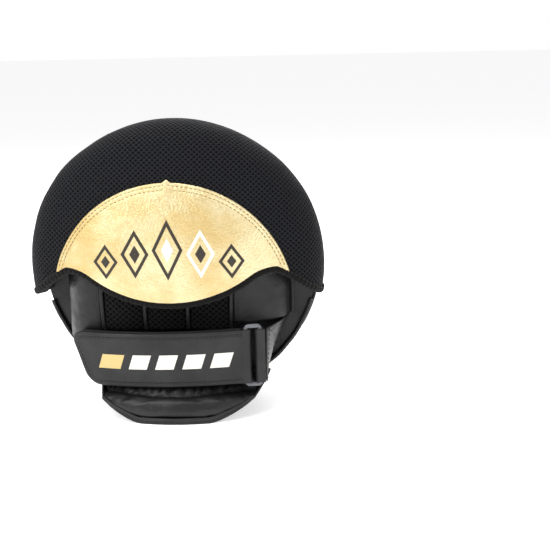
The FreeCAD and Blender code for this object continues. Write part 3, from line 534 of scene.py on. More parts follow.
def spread_evenly(line: Grid, count: int) -> Grid:
    """Takes evenly spaced points along a line.

    Args:
        line: its points in order.
        count: how many to take.

    Returns:
        The new points, with both ends kept.
    """
    along = lengths(line)
    wanted = np.linspace(0.0, along[-1], count)
    return np.stack([np.interp(wanted, along, line[:, k]) for k in range(line.shape[1])], axis=1)


def running_mean(line: Grid, count: int) -> Grid:
    """Smooths a line in the plane; it loses count - 1 points."""
    even = np.ones(count) / count
    return np.stack([np.convolve(line[:, k], even, mode="valid") for k in range(2)], axis=1)


def smooth_step(low: float, high: float, given: Grid) -> Grid:
    """Rises smoothly from 0 at low to 1 at high."""
    share = np.clip((given - low) / (high - low), 0.0, 1.0)
    return share * share * (3 - 2 * share)


@dataclass
class Profile:
    """A half section of something round: radius and depth along its length, in millimetres."""

    radius: Grid
    depth: Grid
    side: float = 1.0  # -1 where its outside faces +Y at the middle
    along: Grid = field(init=False)

    def __post_init__(self) -> None:
        """Measures the length along the section."""
        steps = np.hypot(np.diff(self.radius), np.diff(self.depth))
        self.along = np.concatenate([[0.0], np.cumsum(steps)])

    def at(self, length: Grid) -> tuple[Grid, Grid]:
        """Gives radius and depth at lengths along the section."""
        return np.interp(length, self.along, self.radius), np.interp(length, self.along, self.depth)

    def length_at(self, radius: Grid) -> Grid:
        """Gives the length at which the section first reaches a radius."""
        reach = int(np.argmax(self.radius >= self.radius.max() - 1e-6)) + 1
        return np.interp(radius, self.radius[:reach], self.along[:reach])

    def wrap(self, flat: Grid, lift: Grid | float = 0.0) -> Grid:
        """Wraps points of the unrolled plane onto the surface of revolution.

        Args:
            flat: points whose distance from zero is the length along the section.
            lift: how far outside the surface they lie.

        Returns:
            Points about the pad's centre.
        """
        length = np.linalg.norm(flat, axis=-1)
        turn = np.arctan2(flat[..., 1], flat[..., 0])
        radius, depth = self.at(length)
        ahead, behind = self.at(length + 0.4), self.at(length - 0.4)
        rise, run = ahead[1] - behind[1], ahead[0] - behind[0]
        size = self.side * np.maximum(np.hypot(rise, run), 1e-9)
        radius, depth = radius + lift * rise / size, depth - lift * run / size
        return stack(radius * np.cos(turn), depth, radius * np.sin(turn))


def arc(centre: Pair, radius: float, start: float, stop: float, count: int) -> Grid:
    """Points of an arc.

    Args:
        centre: its centre.
        radius: its radius.
        start: first angle in degrees.
        stop: last angle in degrees.
        count: how many points.

    Returns:
        The points.
    """
    turn = np.radians(np.linspace(start, stop, count))
    return np.stack([centre[0] + radius * np.cos(turn), centre[1] + radius * np.sin(turn)], axis=1)


@dataclass
class Shape:
    """A closed surface in millimetres about the pad's centre, with a map in metres."""

    points: Grid
    faces: list[tuple[int, ...]]
    uv: Grid

    def outward(self) -> "Shape":
        """Turns the faces to point outwards."""
        corners = np.array([(f[0], f[i], f[i + 1]) for f in self.faces for i in range(1, len(f) - 1)])
        first, second, third = (self.points[corners[:, k]] for k in range(3))
        if np.einsum("ij,ij->i", first, np.cross(second, third)).sum() < 0:
            self.faces = [tuple(reversed(f)) for f in self.faces]
        return self


def slab(front: Grid, back: Grid, uv: Grid | None = None, wrap: bool = False,
         keep: Grid | None = None) -> Shape:
    """Makes a closed sheet between two grids of points.

    Args:
        front: rows by columns of points on its outer side.
        back: the same on its inner side.
        uv: rows by columns of map coordinates in metres; measured along the front where left out.
        wrap: whether the last column meets the first.
        keep: rows by columns of cells that are there, where some are cut out.

    Returns:
        The sheet.
    """
    rows, columns = front.shape[:2]
    last = columns if wrap else columns - 1
    there = np.ones((rows - 1, last), dtype=bool) if keep is None else keep[:rows - 1, :last]
    total = rows * columns
    faces: list[tuple[int, ...]] = []
    border: dict[tuple[int, int], None] = {}
    for i, j in zip(*np.nonzero(there)):
        after = (j + 1) % columns
        corners = tuple(int(c) for c in (i * columns + j, i * columns + after, (i + 1) * columns + after,
                                         (i + 1) * columns + j))
        faces.append(corners)
        faces.append(tuple(total + c for c in reversed(corners)))
        for k in range(4):
            start, stop = corners[k], corners[(k + 1) % 4]
            if (stop, start) in border:
                del border[(stop, start)]
            else:
                border[(start, stop)] = None
    faces += [(stop, start, total + start, total + stop) for start, stop in border]
    if uv is None:
        run = np.linalg.norm(np.diff(front, axis=1), axis=2)
        rise = np.linalg.norm(np.diff(front, axis=0), axis=2)
        run = np.concatenate([np.zeros((rows, 1)), np.cumsum(run, axis=1)], axis=1)
        rise = np.concatenate([np.zeros((1, columns)), np.cumsum(rise, axis=0)], axis=0)
        uv = np.stack([run, rise], axis=-1) * MM
    points = np.concatenate([front.reshape(-1, 3), back.reshape(-1, 3)])
    return Shape(points, faces, np.concatenate([uv.reshape(-1, 2)] * 2)).outward()


def thicken(front: Grid, thick: float, wrap: bool = False, uv: Grid | None = None,
            edge: float = 0.6, towards: Grid | None = None) -> Shape:
    """Gives a grid of points a thickness and softly rounded edges.

    Args:
        front: rows by columns of points on the outer side.
        thick: thickness.
        wrap: whether the last column meets the first.
        uv: map coordinates in metres.
        edge: how far the outer side sinks at its border.
        towards: a point on the inner side; the pad's centre where left out.

    Returns:
        The sheet.
    """
    normal = grid_normals(front, wrap)
    middle = front.reshape(-1, 3).mean(axis=0)
    inner = np.zeros(3) if towards is None else towards
    if np.einsum("ijk,k->ij", normal, middle - inner).sum() < 0:
        normal = -normal
    back = front - normal * thick
    rim = np.zeros(front.shape[:2])
    rim[[0, -1]] = 1.0
    if not wrap:
        rim[:, [0, -1]] = 1.0
    return slab(front - normal * edge * rim[..., None], back + normal * 0.3 * edge * rim[..., None], uv,
                wrap)


def sweep(path: Grid, side: Grid, up: Grid, section: Grid, closed: bool = False) -> Shape:
    """Sweeps a closed section along a path.

    Args:
        path: points of the path.
        side: the section's first direction at each point.
        up: its second direction at each point.
        section: corners of the section in those directions, one set or one set for each point.
        closed: whether the path's end meets its start.

    Returns:
        The swept solid.
    """
    shaped = np.broadcast_to(section, (len(path), *section.shape[-2:]))
    rings = path[:, None] + shaped[..., :1] * side[:, None] + shaped[..., 1:] * up[:, None]
    count, corners = rings.shape[:2]
    faces: list[tuple[int, ...]] = []
    for i in range(count if closed else count - 1):
        here, there = i * corners, ((i + 1) % count) * corners
        for k in range(corners):
            after = (k + 1) % corners
            faces.append((here + k, here + after, there + after, there + k))
    if not closed:
        faces.append(tuple(reversed(range(corners))))
        faces.append(tuple(range((count - 1) * corners, count * corners)))
    uv = np.stack(np.meshgrid(lengths(path), lengths(shaped[0]), indexing="ij"), axis=-1) * MM
    return Shape(rings.reshape(-1, 3), faces, uv.reshape(-1, 2)).outward()


def tube(path: Grid, radius: float | Grid, closed: bool = False, sides: int = 12,
         flat: float = 1.0, up: Grid | None = None) -> Shape:
    """Makes a round or flattened tube along a path.

    Args:
        path: points of the path.
        radius: its radius, one or one for each point.
        closed: whether the path's end meets its start.
        sides: corners of its section.
        flat: height as a share of width.
        up: direction of the height at each point; away from the pad's axis where left out.

    Returns:
        The tube.
    """
    if closed:
        ahead = unit(np.roll(path, -1, axis=0) - np.roll(path, 1, axis=0))
    else:
        ahead = unit(np.gradient(path, axis=0))
    if up is None:
        up = from_axis(path)
    side = unit(np.cross(ahead, up))
    up = np.cross(side, ahead)
    circle = arc((0, 0), 1.0, 0, 360, sides + 1)[:-1] * np.array([1.0, flat])
    section = circle[None] * np.broadcast_to(np.asarray(radius, dtype=float), (len(path),))[:, None, None]
    return sweep(path, side, up, section, closed)


def rounded_box(low: Pair, high: Pair, radius: float, steps: int = 5) -> Grid:
    """Outline of a rectangle with rounded corners.

    Args:
        low: its lowest corner.
        high: its highest corner.
        radius: radius of its corners.
        steps: points on each corner.

    Returns:
        Its points.
    """
    centres = ((high[0] - radius, high[1] - radius, 0), (low[0] + radius, high[1] - radius, 90),
               (low[0] + radius, low[1] + radius, 180), (high[0] - radius, low[1] + radius, 270))
    return np.concatenate([arc((x, y), radius, turn, turn + 90, steps) for x, y, turn in centres])


class Workshop:
    """Makes pieces from shapes, dresses each one and hangs it on its body."""

    def __init__(self, layout: Layout) -> None:
        """Keeps the layout that turns millimetres into the frame's metres."""
        self.layout = layout

    def make(self, name: str, *shapes: Shape, sharp: float = 52.0) -> Piece:
        """Makes one mesh object from closed shapes.

        Args:
            name: its name.
            shapes: the shapes.
            sharp: angle in degrees past which an edge is shaded sharp.

        Returns:
            The object.
        """
        points, faces, uv, count = [], [], [], 0
        for shape in shapes:
            points.append(shape.points)
            uv.append(shape.uv)
            faces += [tuple(count + c for c in face) for face in shape.faces]
            count += len(shape.points)
        data = bpy.data.meshes.new(name)
        data.from_pydata(self.layout.to_frame(np.concatenate(points)).tolist(), [], faces)
        layer = data.uv_layers.new(name="UVMap")
        corners = np.empty(len(data.loops), dtype=np.int64)
        data.loops.foreach_get("vertex_index", corners)
        layer.data.foreach_set("uv", np.concatenate(uv)[corners].astype(np.float32).ravel())
        work = bmesh.new()
        work.from_mesh(data)
        bmesh.ops.remove_doubles(work, verts=work.verts, dist=1e-6)
        bmesh.ops.dissolve_degenerate(work, edges=work.edges, dist=1e-7)
        work.to_mesh(data)
        work.free()
        data.shade_smooth()
        data.set_sharp_from_angle(angle=math.radians(sharp))
        piece = bpy.data.objects.new(name, data)
        bpy.context.scene.collection.objects.link(piece)
        return piece

    def put(self, name: str, shapes: Shape | Sequence[Shape], finish: Finish, *stands_for: str,
            slot: str = "black_leather", body: Body = Body.PAD, fill: float | None = None,
            sharp: float = 52.0) -> Piece:
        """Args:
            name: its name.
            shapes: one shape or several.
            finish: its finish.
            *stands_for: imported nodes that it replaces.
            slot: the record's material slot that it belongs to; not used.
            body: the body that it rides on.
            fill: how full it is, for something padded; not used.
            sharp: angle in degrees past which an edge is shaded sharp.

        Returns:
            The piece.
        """
        made = self.make(name, *([shapes] if isinstance(shapes, Shape) else shapes), sharp=sharp)
        return self.declare(made, finish, body, slot, stands_for, fill)

    def declare(self, piece: Piece, finish: Finish, body: Body, slot: str, stands_for: Sequence[str] = (),
                fill: float | None = None) -> Piece:
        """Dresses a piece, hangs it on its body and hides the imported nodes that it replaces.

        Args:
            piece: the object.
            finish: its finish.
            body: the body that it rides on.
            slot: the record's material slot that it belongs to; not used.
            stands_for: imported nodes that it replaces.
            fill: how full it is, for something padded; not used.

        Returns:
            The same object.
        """
        piece.data.materials.clear()
        piece.data.materials.append(finish.material())
        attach(piece, body.value)
        if stands_for:
            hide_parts(*stands_for)
        LOG.info("piece %s: %d faces on %s", piece.name, len(piece.data.polygons), body.value)
        return piece


# ------------------------------------------------------------------ stitches and other repeats


def open_tree(tree: Tree, sizes: Sequence[str], dress: str) -> bpy.types.bpy_prop_collection:
    """Gives a Geometry Nodes tree its sockets.

    Args:
        tree: the tree.
        sizes: names of its number inputs.
        dress: name of its material input.

    Returns:
        The outputs of its input node.
    """
    for name, kind, side in (("Geometry", "Geometry", "INPUT"), *((n, "Float", "INPUT") for n in sizes),
                             (dress, "Material", "INPUT"), ("Geometry", "Geometry", "OUTPUT")):
        tree.interface.new_socket(name, in_out=side, socket_type=f"NodeSocket{kind}")
    return add(tree, "NodeGroupInput").outputs


def close_tree(tree: Tree, laid: Node, dress: SOCKET) -> Tree:
    """Makes the laid instances real, dresses them and ends the tree.

    Args:
        tree: the tree.
        laid: the node that lays the instances.
        dress: their material.

    Returns:
        The same tree.
    """
    real = add(tree, "GeometryNodeRealizeInstances", {"Geometry": laid.outputs[0]})
    dressed = add(tree, "GeometryNodeSetMaterial", {"Geometry": real.outputs[0], "Material": dress})
    add(tree, "NodeGroupOutput", {"Geometry": dressed.outputs[0]})
    return tree


@dataclass
class StitchKind:
    """One thread and how it is sewn, in millimetres."""

    name: str
    finish: Finish
    body: Body
    slot: str
    pitch: float = 3.6
    length: float = 2.7
    thick: float = 0.42


class Seamstress:
    """Collects stitch lines and sews each kind of them with one Geometry Nodes tree."""

    def __init__(self, shop: Workshop) -> None:
        """Starts with no lines."""
        self.shop = shop
        self.lines: dict[str, tuple[StitchKind, list[Grid]]] = {}

    def sew(self, kind: StitchKind, line: Grid) -> None:
        """Adds one stitch line, in millimetres, to be sewn with a thread."""
        self.lines.setdefault(kind.name, (kind, []))[1].append(line)

    @staticmethod
    def tree() -> Tree:
        """Builds the tree that lays one rounded stitch on each step along a curve.

        Returns:
            The tree, whose inputs are Pitch, Length, Thickness and Thread.
        """
        tree = bpy.data.node_groups.new("stitch_row", "GeometryNodeTree")
        given = open_tree(tree, ("Pitch", "Length", "Thickness"), "Thread")
        steps = add(tree, "GeometryNodeCurveToPoints",
                    {"Curve": given["Geometry"], "Length": given["Pitch"]}, mode="LENGTH")
        turned = add(tree, "FunctionNodeAlignRotationToVector", {"Vector": steps.outputs["Tangent"]},
                     axis="Z")
        halves = [add(tree, "ShaderNodeMath", {0: given[name], 1: 0.5}, operation="MULTIPLY").outputs[0]
                  for name in ("Thickness", "Length")]
        size = add(tree, "ShaderNodeCombineXYZ", {"X": halves[0], "Y": halves[0], "Z": halves[1]})
        bead = add(tree, "GeometryNodeMeshUVSphere", {"Segments": 6, "Rings": 5, "Radius": 1.0})
        laid = add(tree, "GeometryNodeInstanceOnPoints",
                   {"Points": steps.outputs["Points"], "Instance": bead.outputs["Mesh"],
                    "Rotation": turned.outputs[0], "Scale": size.outputs[0]})
        return close_tree(tree, laid, given["Thread"])

    def finish(self) -> None:
        """Sews every line and declares one piece for each thread."""
        tree = self.tree()
        for kind, lines in self.lines.values():
            curve = bpy.data.curves.new(kind.name, "CURVE")
            curve.dimensions = "3D"
            for line in lines:
                spline = curve.splines.new("POLY")
                spline.points.add(len(line) - 1)
                points = np.concatenate([self.shop.layout.to_frame(line), np.ones((len(line), 1))], axis=1)
                spline.points.foreach_set("co", points.astype(np.float32).ravel())
            holder = bpy.data.objects.new(kind.name + "_line", curve)
            bpy.context.scene.collection.objects.link(holder)
            sizes = {"Pitch": kind.pitch * MM, "Length": kind.length * MM, "Thickness": kind.thick * MM,
                     "Thread": kind.finish.material()}
            piece = grow(kind.name, holder, tree, sizes)
            self.shop.declare(piece, kind.finish, kind.body, kind.slot)


def grow(name: str, holder: Piece, tree: Tree, sizes: dict[str, object]) -> Piece:
    """Runs a Geometry Nodes tree on an object and keeps its result as a plain mesh.

    Args:
        name: name of the new piece.
        holder: the object that the tree starts from, which is removed.
        tree: the tree.
        sizes: the tree's inputs by name.

    Returns:
        The new object.
    """
    modifier = holder.modifiers.new("grow", "NODES")
    modifier.node_group = tree
    for item in tree.interface.items_tree:
        if item.in_out == "INPUT" and item.name in sizes:
            modifier[item.identifier] = sizes[item.name]
    ready = holder.evaluated_get(bpy.context.evaluated_depsgraph_get())
    data = bpy.data.meshes.new_from_object(ready)
    data.name = name
    bpy.data.objects.remove(holder)
    data.shade_smooth()
    piece = bpy.data.objects.new(name, data)
    bpy.context.scene.collection.objects.link(piece)
    return piece


def bake(piece: Piece) -> None:
    """Turns a piece's modifiers into plain mesh."""
    ready = piece.evaluated_get(bpy.context.evaluated_depsgraph_get())
    data = bpy.data.meshes.new_from_object(ready)
    piece.modifiers.clear()
    piece.data = data


def plump(piece: Piece, voxel_mm: float, limit_mm: float, pressure: float = 4.0) -> None:
    """Swells a closed piece as stuffed cloth does.

    Args:
        piece: the object, a little smaller than the padded piece that it becomes.
        voxel_mm: size of the even mesh that it is given first.
        limit_mm: the furthest that a point may move.
        pressure: pressure inside.
    """
    remesh = piece.modifiers.new("even", "REMESH")
    remesh.mode = "VOXEL"
    remesh.voxel_size = voxel_mm * MM
    bake(piece)
    start = np.array([v.co for v in piece.data.vertices])
    cloth = piece.modifiers.new("stuffed", "CLOTH")
    cloth.settings.use_pressure = True
    cloth.settings.uniform_pressure_force = pressure
    cloth.settings.effector_weights.gravity = 0.0
    cloth.settings.quality = 6
    scene = bpy.context.scene
    for step in range(1, 21):
        scene.frame_set(step)
    bake(piece)
    scene.frame_set(1)
    moved = np.array([v.co for v in piece.data.vertices]) - start
    length = np.linalg.norm(moved, axis=1, keepdims=True)
    capped = start + moved * np.minimum(1.0, limit_mm * MM / np.maximum(length, 1e-9))
    piece.data.vertices.foreach_set("co", capped.astype(np.float32).ravel())
    smooth = piece.modifiers.new("smooth", "SUBSURF")
    smooth.levels = smooth.render_levels = 1
    bake(piece)
    piece.data.shade_smooth()


# ------------------------------------------------------------------ striking pad


@dataclass
class StrikingPad:
    """The round pad: gold dished face, its printed target, the laced side wall and the back panel."""

    shop: Workshop
    thread: Seamstress
    leather: float = 1.6
    wall_bulge: float = 55.0
    puckers: int = 132  # gathers of the face leather where it is drawn over the rim
    pucker_depth: float = 0.34
    seam_drop: float = 9.0  # degrees that the side seams lie under the horizontal
    lace_round: float = 2.0
    lace_front: float = 22.0
    lace_rear: float = 9.0
    lace_count: int = 14
    lace_pitch: float = 9.6
    lace_lift: float = 0.9
    slit_width: float = 4.0
    face: Profile = field(init=False)

    def __post_init__(self) -> None:
        """Works out the face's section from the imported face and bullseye, and where the lacing lies."""
        layout = self.shop.layout
        self.seam_y = float(layout.box("face_panel")[0][1])
        self.round = layout.crest_y - self.seam_y
        self.lace_middle = (self.lace_front + self.lace_rear) / 2
        self.lace_reach = self.lace_count * self.lace_pitch / 2
        self.first_hole = -(self.lace_count - 1) / 2 * self.lace_pitch
        floor = float(layout.box("target_bullseye")[0][1])
        centre = layout.face_radius - self.round
        dish = layout.crest_y - floor
        curve = (centre ** 2 + (self.round - dish) ** 2 - self.round ** 2) / (2 * dish)
        lean = math.degrees(math.asin(centre / (curve + self.round)))
        bowl = arc((0, floor + curve), curve, -90, -90 + lean, 90)
        rim = arc((centre, self.seam_y), self.round, 90 + lean, 0, 60)
        line = np.concatenate([bowl, rim[1:]])
        self.face = Profile(line[:, 0], line[:, 1], side=-1.0)

    def face_points(self, length: Grid, turn: Grid, lift: float | Grid = 0.0) -> Grid:
        """Points of the face's outer side.

        Args:
            length: length along the face's section.
            turn: angle about the pad's axis, in radians.
            lift: how far outside the leather they lie.

        Returns:
            The points.
        """
        end = self.face.along[-1]
        flat = polar(length, turn)
        base = self.face.wrap(flat)
        slow = 0.9 * rough(base, 46, 3.1) + 0.3 * rough(base, 17, 8.3)
        wander = 2.2 * rough(base, 24, 1.7)
        gather = (np.cos(turn * self.puckers + wander) * 0.75
                  + 0.25 * np.cos(turn * self.puckers * 0.41 + 1.9 * wander))
        near = smooth_step(end - 27, end - 7, length) * (1 - 0.55 * smooth_step(end - 3, end, length))
        pull = -0.9 * smooth_step(end - 5, end, length)
        lift = lift + slow * (1 - 0.5 * near) + self.pucker_depth * gather * near + pull
        return self.face.wrap(flat, lift)

    def build_face(self) -> None:
        """The gold leather face, rolled over the rim and gathered into its seam."""
        end = self.face.along[-1]
        rows = np.concatenate([np.linspace(0, end - 30, 22)[:-1], np.linspace(end - 30, end, 30)])
        length, turn = np.meshgrid(rows, full_turn(528), indexing="ij")
        front = self.face_points(length, turn)
        back = self.face.wrap(polar(length, turn), -self.leather - 0.4)
        self.shop.put("face_leather", slab(front, back, wrap=True), GOLD_FOIL, "face_panel",
                      slot="gold_leather", fill=0.85, sharp=70)
        seam = self.face_points(np.full(361, end - 3.4), np.linspace(0, 2 * math.pi, 361), 0.1)
        self.thread.sew(FACE_THREAD, seam)

    def build_target(self) -> None:
        """The printed bullseye and its three rings, laid on the leather's own surface."""
        inks = ((BLACK_INK, "black_print"), *[(WHITE_INK, "white_print")] * 3)
        for node, (ink, slot), (start, stop) in zip(FILMS, inks, self.film_radii()):
            rows = np.interp([start, stop], self.face.radius[:80], self.face.along[:80])
            length, turn = np.meshgrid(np.linspace(*rows, 12), full_turn(180), indexing="ij")
            film = slab(self.face_points(length, turn, 0.22), self.face_points(length, turn, -0.1),
                        wrap=True)
            self.shop.put(f"{node}_film", film, ink, node, slot=slot)
        self.build_face_prints()

    def film_radii(self) -> list[Pair]:
        """Inner and outer radius of each film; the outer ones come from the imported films' boxes."""
        reach = [float(self.shop.layout.box(node)[1][0]) for node in FILMS]
        gaps = (0.0, 1.5, 1.4, 3.0)
        starts = [0.0] + [reach[k] + gaps[k + 1] for k in range(3)]
        return list(zip(starts, reach))

    def face_print(self, outline: Grid, inner: Grid, rows: int = 4) -> Shape:
        """A printed band between two outlines drawn on the face as it is seen from the front."""
        share = np.linspace(0, 1, rows)[:, None, None]
        flat = outline * (1 - share) + inner * share
        radius = np.linalg.norm(flat, axis=-1)
        length = np.interp(radius, self.face.radius[:88], self.face.along[:88])
        turn = np.arctan2(flat[..., 1], flat[..., 0])
        return slab(self.face_points(length, turn, 0.2), self.face_points(length, turn, -0.1), wrap=True)

    def build_face_prints(self) -> None:
        """Plain ornaments: three small rhombi above the target and two bars under it."""
        rhombi = [self.face_print(rhombus((x, 71), half), rhombus((x, 71), half * 0.55))
                  for x, half in ((-13, np.array([6, 9])), (0, np.array([7, 12])), (13, np.array([6, 9])))]
        self.shop.put("face_ornament", rhombi, BROWN_INK, slot="black_print")
        bars = [self.face_print(block((0, z), (half, 2.0)), block((0, z), (half - 1.9, 0.05)))
                for z, half in ((-66, 31), (-73, 24))]
        for name, ink, slot, bar in (("face_bar_dark", BLACK_INK, "black_print", bars[0]),
                                     ("face_bar_pale", WHITE_INK, "white_print", bars[1])):
            self.shop.put(name, bar, ink, slot=slot)

    def wall_radius(self, y: Grid) -> Grid:
        """Radius of the side wall's outer side at a depth."""
        layout = self.shop.layout
        fall = layout.rear_radius - layout.face_radius
        span = self.seam_y - 0.2 - self.leather
        slant = math.hypot(span, fall) / span
        along = (y - self.leather) * slant
        return layout.rear_radius - fall * (y - self.leather) / span + along * (span * slant - along) / (
            2 * self.wall_bulge)

    def wall_points(self, turn: Grid, y: Grid, laced: bool) -> Grid:
        """Points of the side wall; turn runs in radians from straight down towards +X."""
        radius = self.wall_radius(y)
        base = around(turn, y, radius)
        span = smooth_step(self.leather - 0.1, 6, y) * (1 - smooth_step(self.seam_y - 6, self.seam_y, y))
        creases = 0.25 * rough(base * np.array([1, 0.35, 1]), 6, 2.2)
        radius = radius + span * (0.9 * rough(base, 38, 5.5) + creases)
        radius = radius - 0.5 * (1 - smooth_step(0.0, 2.5, self.seam_y - 0.2 - y))
        if laced:
            radius = radius + self.lips(turn, y)
        return around(turn, y, radius)

    def lips(self, turn: Grid, y: Grid) -> Grid:
        """How the leather swells between the lace's strands and dips at its holes."""
        degrees = np.degrees(turn)
        lean = self.lace_pitch / 2 * (self.lace_front - y) / (self.lace_front - self.lace_rear)
        phase = (degrees - lean - self.first_hole) / self.lace_pitch
        open_lip = np.exp(-(((np.abs(y - self.lace_middle) - self.slit_width / 2) / 3.6) ** 2))
        inside = smooth_step(-2, 0, self.lace_reach - np.abs(degrees))
        swell = (1.5 * (0.5 - 0.5 * np.cos(2 * math.pi * phase)) - 0.5) * open_lip
        dips = np.zeros_like(degrees)
        for row, lead in ((self.lace_front, 0.0), (self.lace_rear, self.lace_pitch / 2)):
            step = (degrees - self.first_hole - lead) / self.lace_pitch
            off = (step - np.round(step)) * math.radians(self.lace_pitch) * self.shop.layout.rear_radius
            dips += 1.3 * np.exp(-(off ** 2 + (y - row) ** 2) / (2 * 1.9 ** 2))
        return (swell - dips) * inside

    def build_wall(self) -> None:
        """The side wall in two lengths, and the stitched seams where they meet."""
        half = math.radians(90 - self.seam_drop)
        depth = np.linspace(self.leather, self.seam_y - 0.2, 36)
        y, turn = np.meshgrid(depth, np.linspace(-half + 0.001, half - 0.001, 420), indexing="ij")
        front = self.wall_points(turn, y, True)
        back = self.thin(front)
        slit = np.abs(y - self.lace_middle) < self.slit_width / 2
        slit &= np.abs(np.degrees(turn)) < self.lace_reach
        self.shop.put("wall_lower_leather", slab(front, back, keep=~slit), BLACK_HIDE, "wall_lower")
        upper = np.linspace(half + 0.001, 2 * math.pi - half - 0.001, 360)
        y, turn = np.meshgrid(depth[::2], upper, indexing="ij")
        front = self.wall_points(turn, y, False)
        self.shop.put("wall_upper_leather", slab(front, self.thin(front)), BLACK_HIDE, "wall_upper")
        for side in (-1, 1):
            for off in (-2.2, 2.2):
                turn = np.full(30, side * half) + off / self.shop.layout.rear_radius
                line = self.wall_points(turn, np.linspace(3, self.seam_y - 2, 30), False)
                self.thread.sew(SEAM_THREAD, self.lift(line, 0.1))

    def thin(self, points: Grid) -> Grid:
        """The inner side of a length of wall."""
        return points - from_axis(points) * self.leather

    @staticmethod
    def lift(points: Grid, height: float) -> Grid:
        """Moves points away from the pad's axis."""
        return points + from_axis(points) * height

    def build_trim(self) -> None:
        """Face welt, rear roll, lacing tongue and back panel."""
        turn = full_turn(360)
        radius = self.shop.layout.face_radius + 0.8 + 0.12 * np.cos(turn * self.puckers / 2)
        path = stack(radius * np.cos(turn), self.seam_y + 0.4, radius * np.sin(turn))
        self.shop.put("face_welt_cord", tube(path, 0.9, closed=True, sides=10), BLACK_HIDE, "face_welt")

        box = self.shop.layout.box("rear_roll")
        turn = np.linspace(math.radians(-73), math.radians(73), 260)
        radius = self.shop.layout.rear_radius - 0.6
        path = around(turn, (box[0][1] + box[1][1]) / 2, radius)
        path = path + 0.25 * stack(rough(path, 9, 4.0), rough(path, 9, 14.0), rough(path, 9, 24.0))
        self.shop.put("rear_roll_leather", tube(path, 1.8, sides=14), BLACK_HIDE, "rear_roll")
        self.thread.sew(SEAM_THREAD, self.lift(path, 1.78))

        box = self.shop.layout.box("lacing_tongue")
        reach = math.radians(self.lace_reach)
        y, turn = np.meshgrid(np.linspace(box[0][1], box[1][1], 8), np.linspace(-reach, reach, 160),
                              indexing="ij")
        radius = -box[0][2]
        tongue = slab(around(turn, y, radius), around(turn, y, radius - 1.2))
        self.shop.put("lacing_tongue_leather", tongue, BLACK_HIDE, "lacing_tongue")

        rows = np.linspace(0, self.shop.layout.rear_radius, 40)
        length, turn = np.meshgrid(rows, full_turn(180), indexing="ij")
        disc = stack(length * np.cos(turn), 0.0 * length, length * np.sin(turn))
        dent = 0.5 * rough(disc, 30, 6.0) * (1 - smooth_step(90, 108, length))
        front = disc - stack(0 * dent, dent, 0 * dent)
        panel = slab(front, disc + np.array([0, self.leather, 0]), wrap=True)
        self.shop.put("back_panel_leather", panel, BLACK_HIDE, "back_panel")

    def route(self) -> Grid:
        """The lace's corners: out and in through the holes, and round the bight at its upper end."""
        outside, inside = {}, {}
        for row in (self.lace_front, self.lace_rear):
            surface = float(self.wall_radius(np.array(row)))
            outside[row] = surface + self.lace_lift + self.lace_round
            inside[row] = surface - self.leather - self.lace_lift - self.lace_round
        points = []
        for step in range(self.lace_count - 1):
            front = (step - (self.lace_count - 1) / 2) * self.lace_pitch
            for row, angle, order in ((self.lace_front, front, (inside, outside)),
                                      (self.lace_rear, front + self.lace_pitch / 2, (outside, inside))):
                points += [self.ground(angle, row, side[row]) for side in order]
        del points[-2:]
        last = ((self.lace_count - 1) / 2 - 1) * self.lace_pitch
        half = (self.lace_front - self.lace_rear) / 2
        crest = outside[self.lace_rear]
        points += [self.ground(last + ahead * self.lace_pitch, self.lace_middle + across * half, crest)
                   for ahead, across in BIGHT]
        return np.array(points)

    @staticmethod
    def ground(degrees: float, y: float, radius: float) -> tuple[float, float, float]:
        """A point of the lower edge; degrees run from straight down towards +X."""
        turn = math.radians(degrees)
        return (radius * math.sin(turn), y, -radius * math.cos(turn))

    def build_lace(self) -> None:
        """One flattened leather lace whipped through both rows of holes."""
        path = follow(self.route(), 7)
        self.shop.put("whipped_lace", tube(path, self.lace_round, sides=12, flat=0.82), LACE_HIDE, "lace",
                      slot="lace_cord")
        rims = []
        for row, lead in ((self.lace_front, 0.0), (self.lace_rear, self.lace_pitch / 2)):
            rims += [self.ground(self.first_hole + step * self.lace_pitch + lead, row,
                                 float(self.wall_radius(np.array(row))) - 0.75)
                     for step in range(self.lace_count - 1)]
        piece = HoleRims(self.shop).punch("lace_hole_rims", np.array(rims))
        self.shop.declare(piece, BLACK_HIDE, Body.PAD, "black_leather")

    def dress_core(self) -> None:
        """Gives the hidden foam and board their own materials."""
        dress_node("impact_foam", GREY_FOAM)
        dress_node("core_foam", GREY_FOAM)
        dress_node("backing_board", FIBRE_BOARD)

    def build(self) -> None:
        """Builds every piece of the pad."""
        for step in (self.build_face, self.build_target, self.build_wall, self.build_trim, self.build_lace,
                     self.dress_core):
            step()


# the printed films on the face, from the middle out
FILMS = ("target_bullseye", "target_ring_inner", "target_ring_middle", "target_ring_outer")
# the bight's corners: holes passed since the last hole, and how far across from one row to the other
BIGHT = ((0.6, -0.9), (1.3, -0.75), (1.9, -0.6), (2.3, 0.0), (1.9, 0.6), (1.3, 0.75), (0.9, 0.3))


def follow(corners: Grid, steps: int) -> Grid:
    """Runs a smooth line through a route, cutting inside its corners.

    Args:
        corners: the route's corners.
        steps: points between one corner and the next.

    Returns:
        The line's points, from the first corner to the last.
    """
    share = np.linspace(0, 1, steps, endpoint=False)[:, None]
    spans = [0.5 * (1 - share) ** 2 * before + (0.5 + share - share ** 2) * here + 0.5 * share ** 2 * after
             for before, here, after in zip(corners, corners[1:], corners[2:])]
    return np.concatenate([corners[:1], *spans, corners[-1:]])


def rhombus(centre: Pair, half: Grid, steps: int = 12) -> Grid:
    """Outline of a rhombus, with points along its sides."""
    corners = np.array([(1, 0), (0, 1), (-1, 0), (0, -1), (1, 0)]) * half
    line = np.concatenate([np.linspace(a, b, steps, endpoint=False) for a, b in zip(corners, corners[1:])])
    return line + np.array(centre)


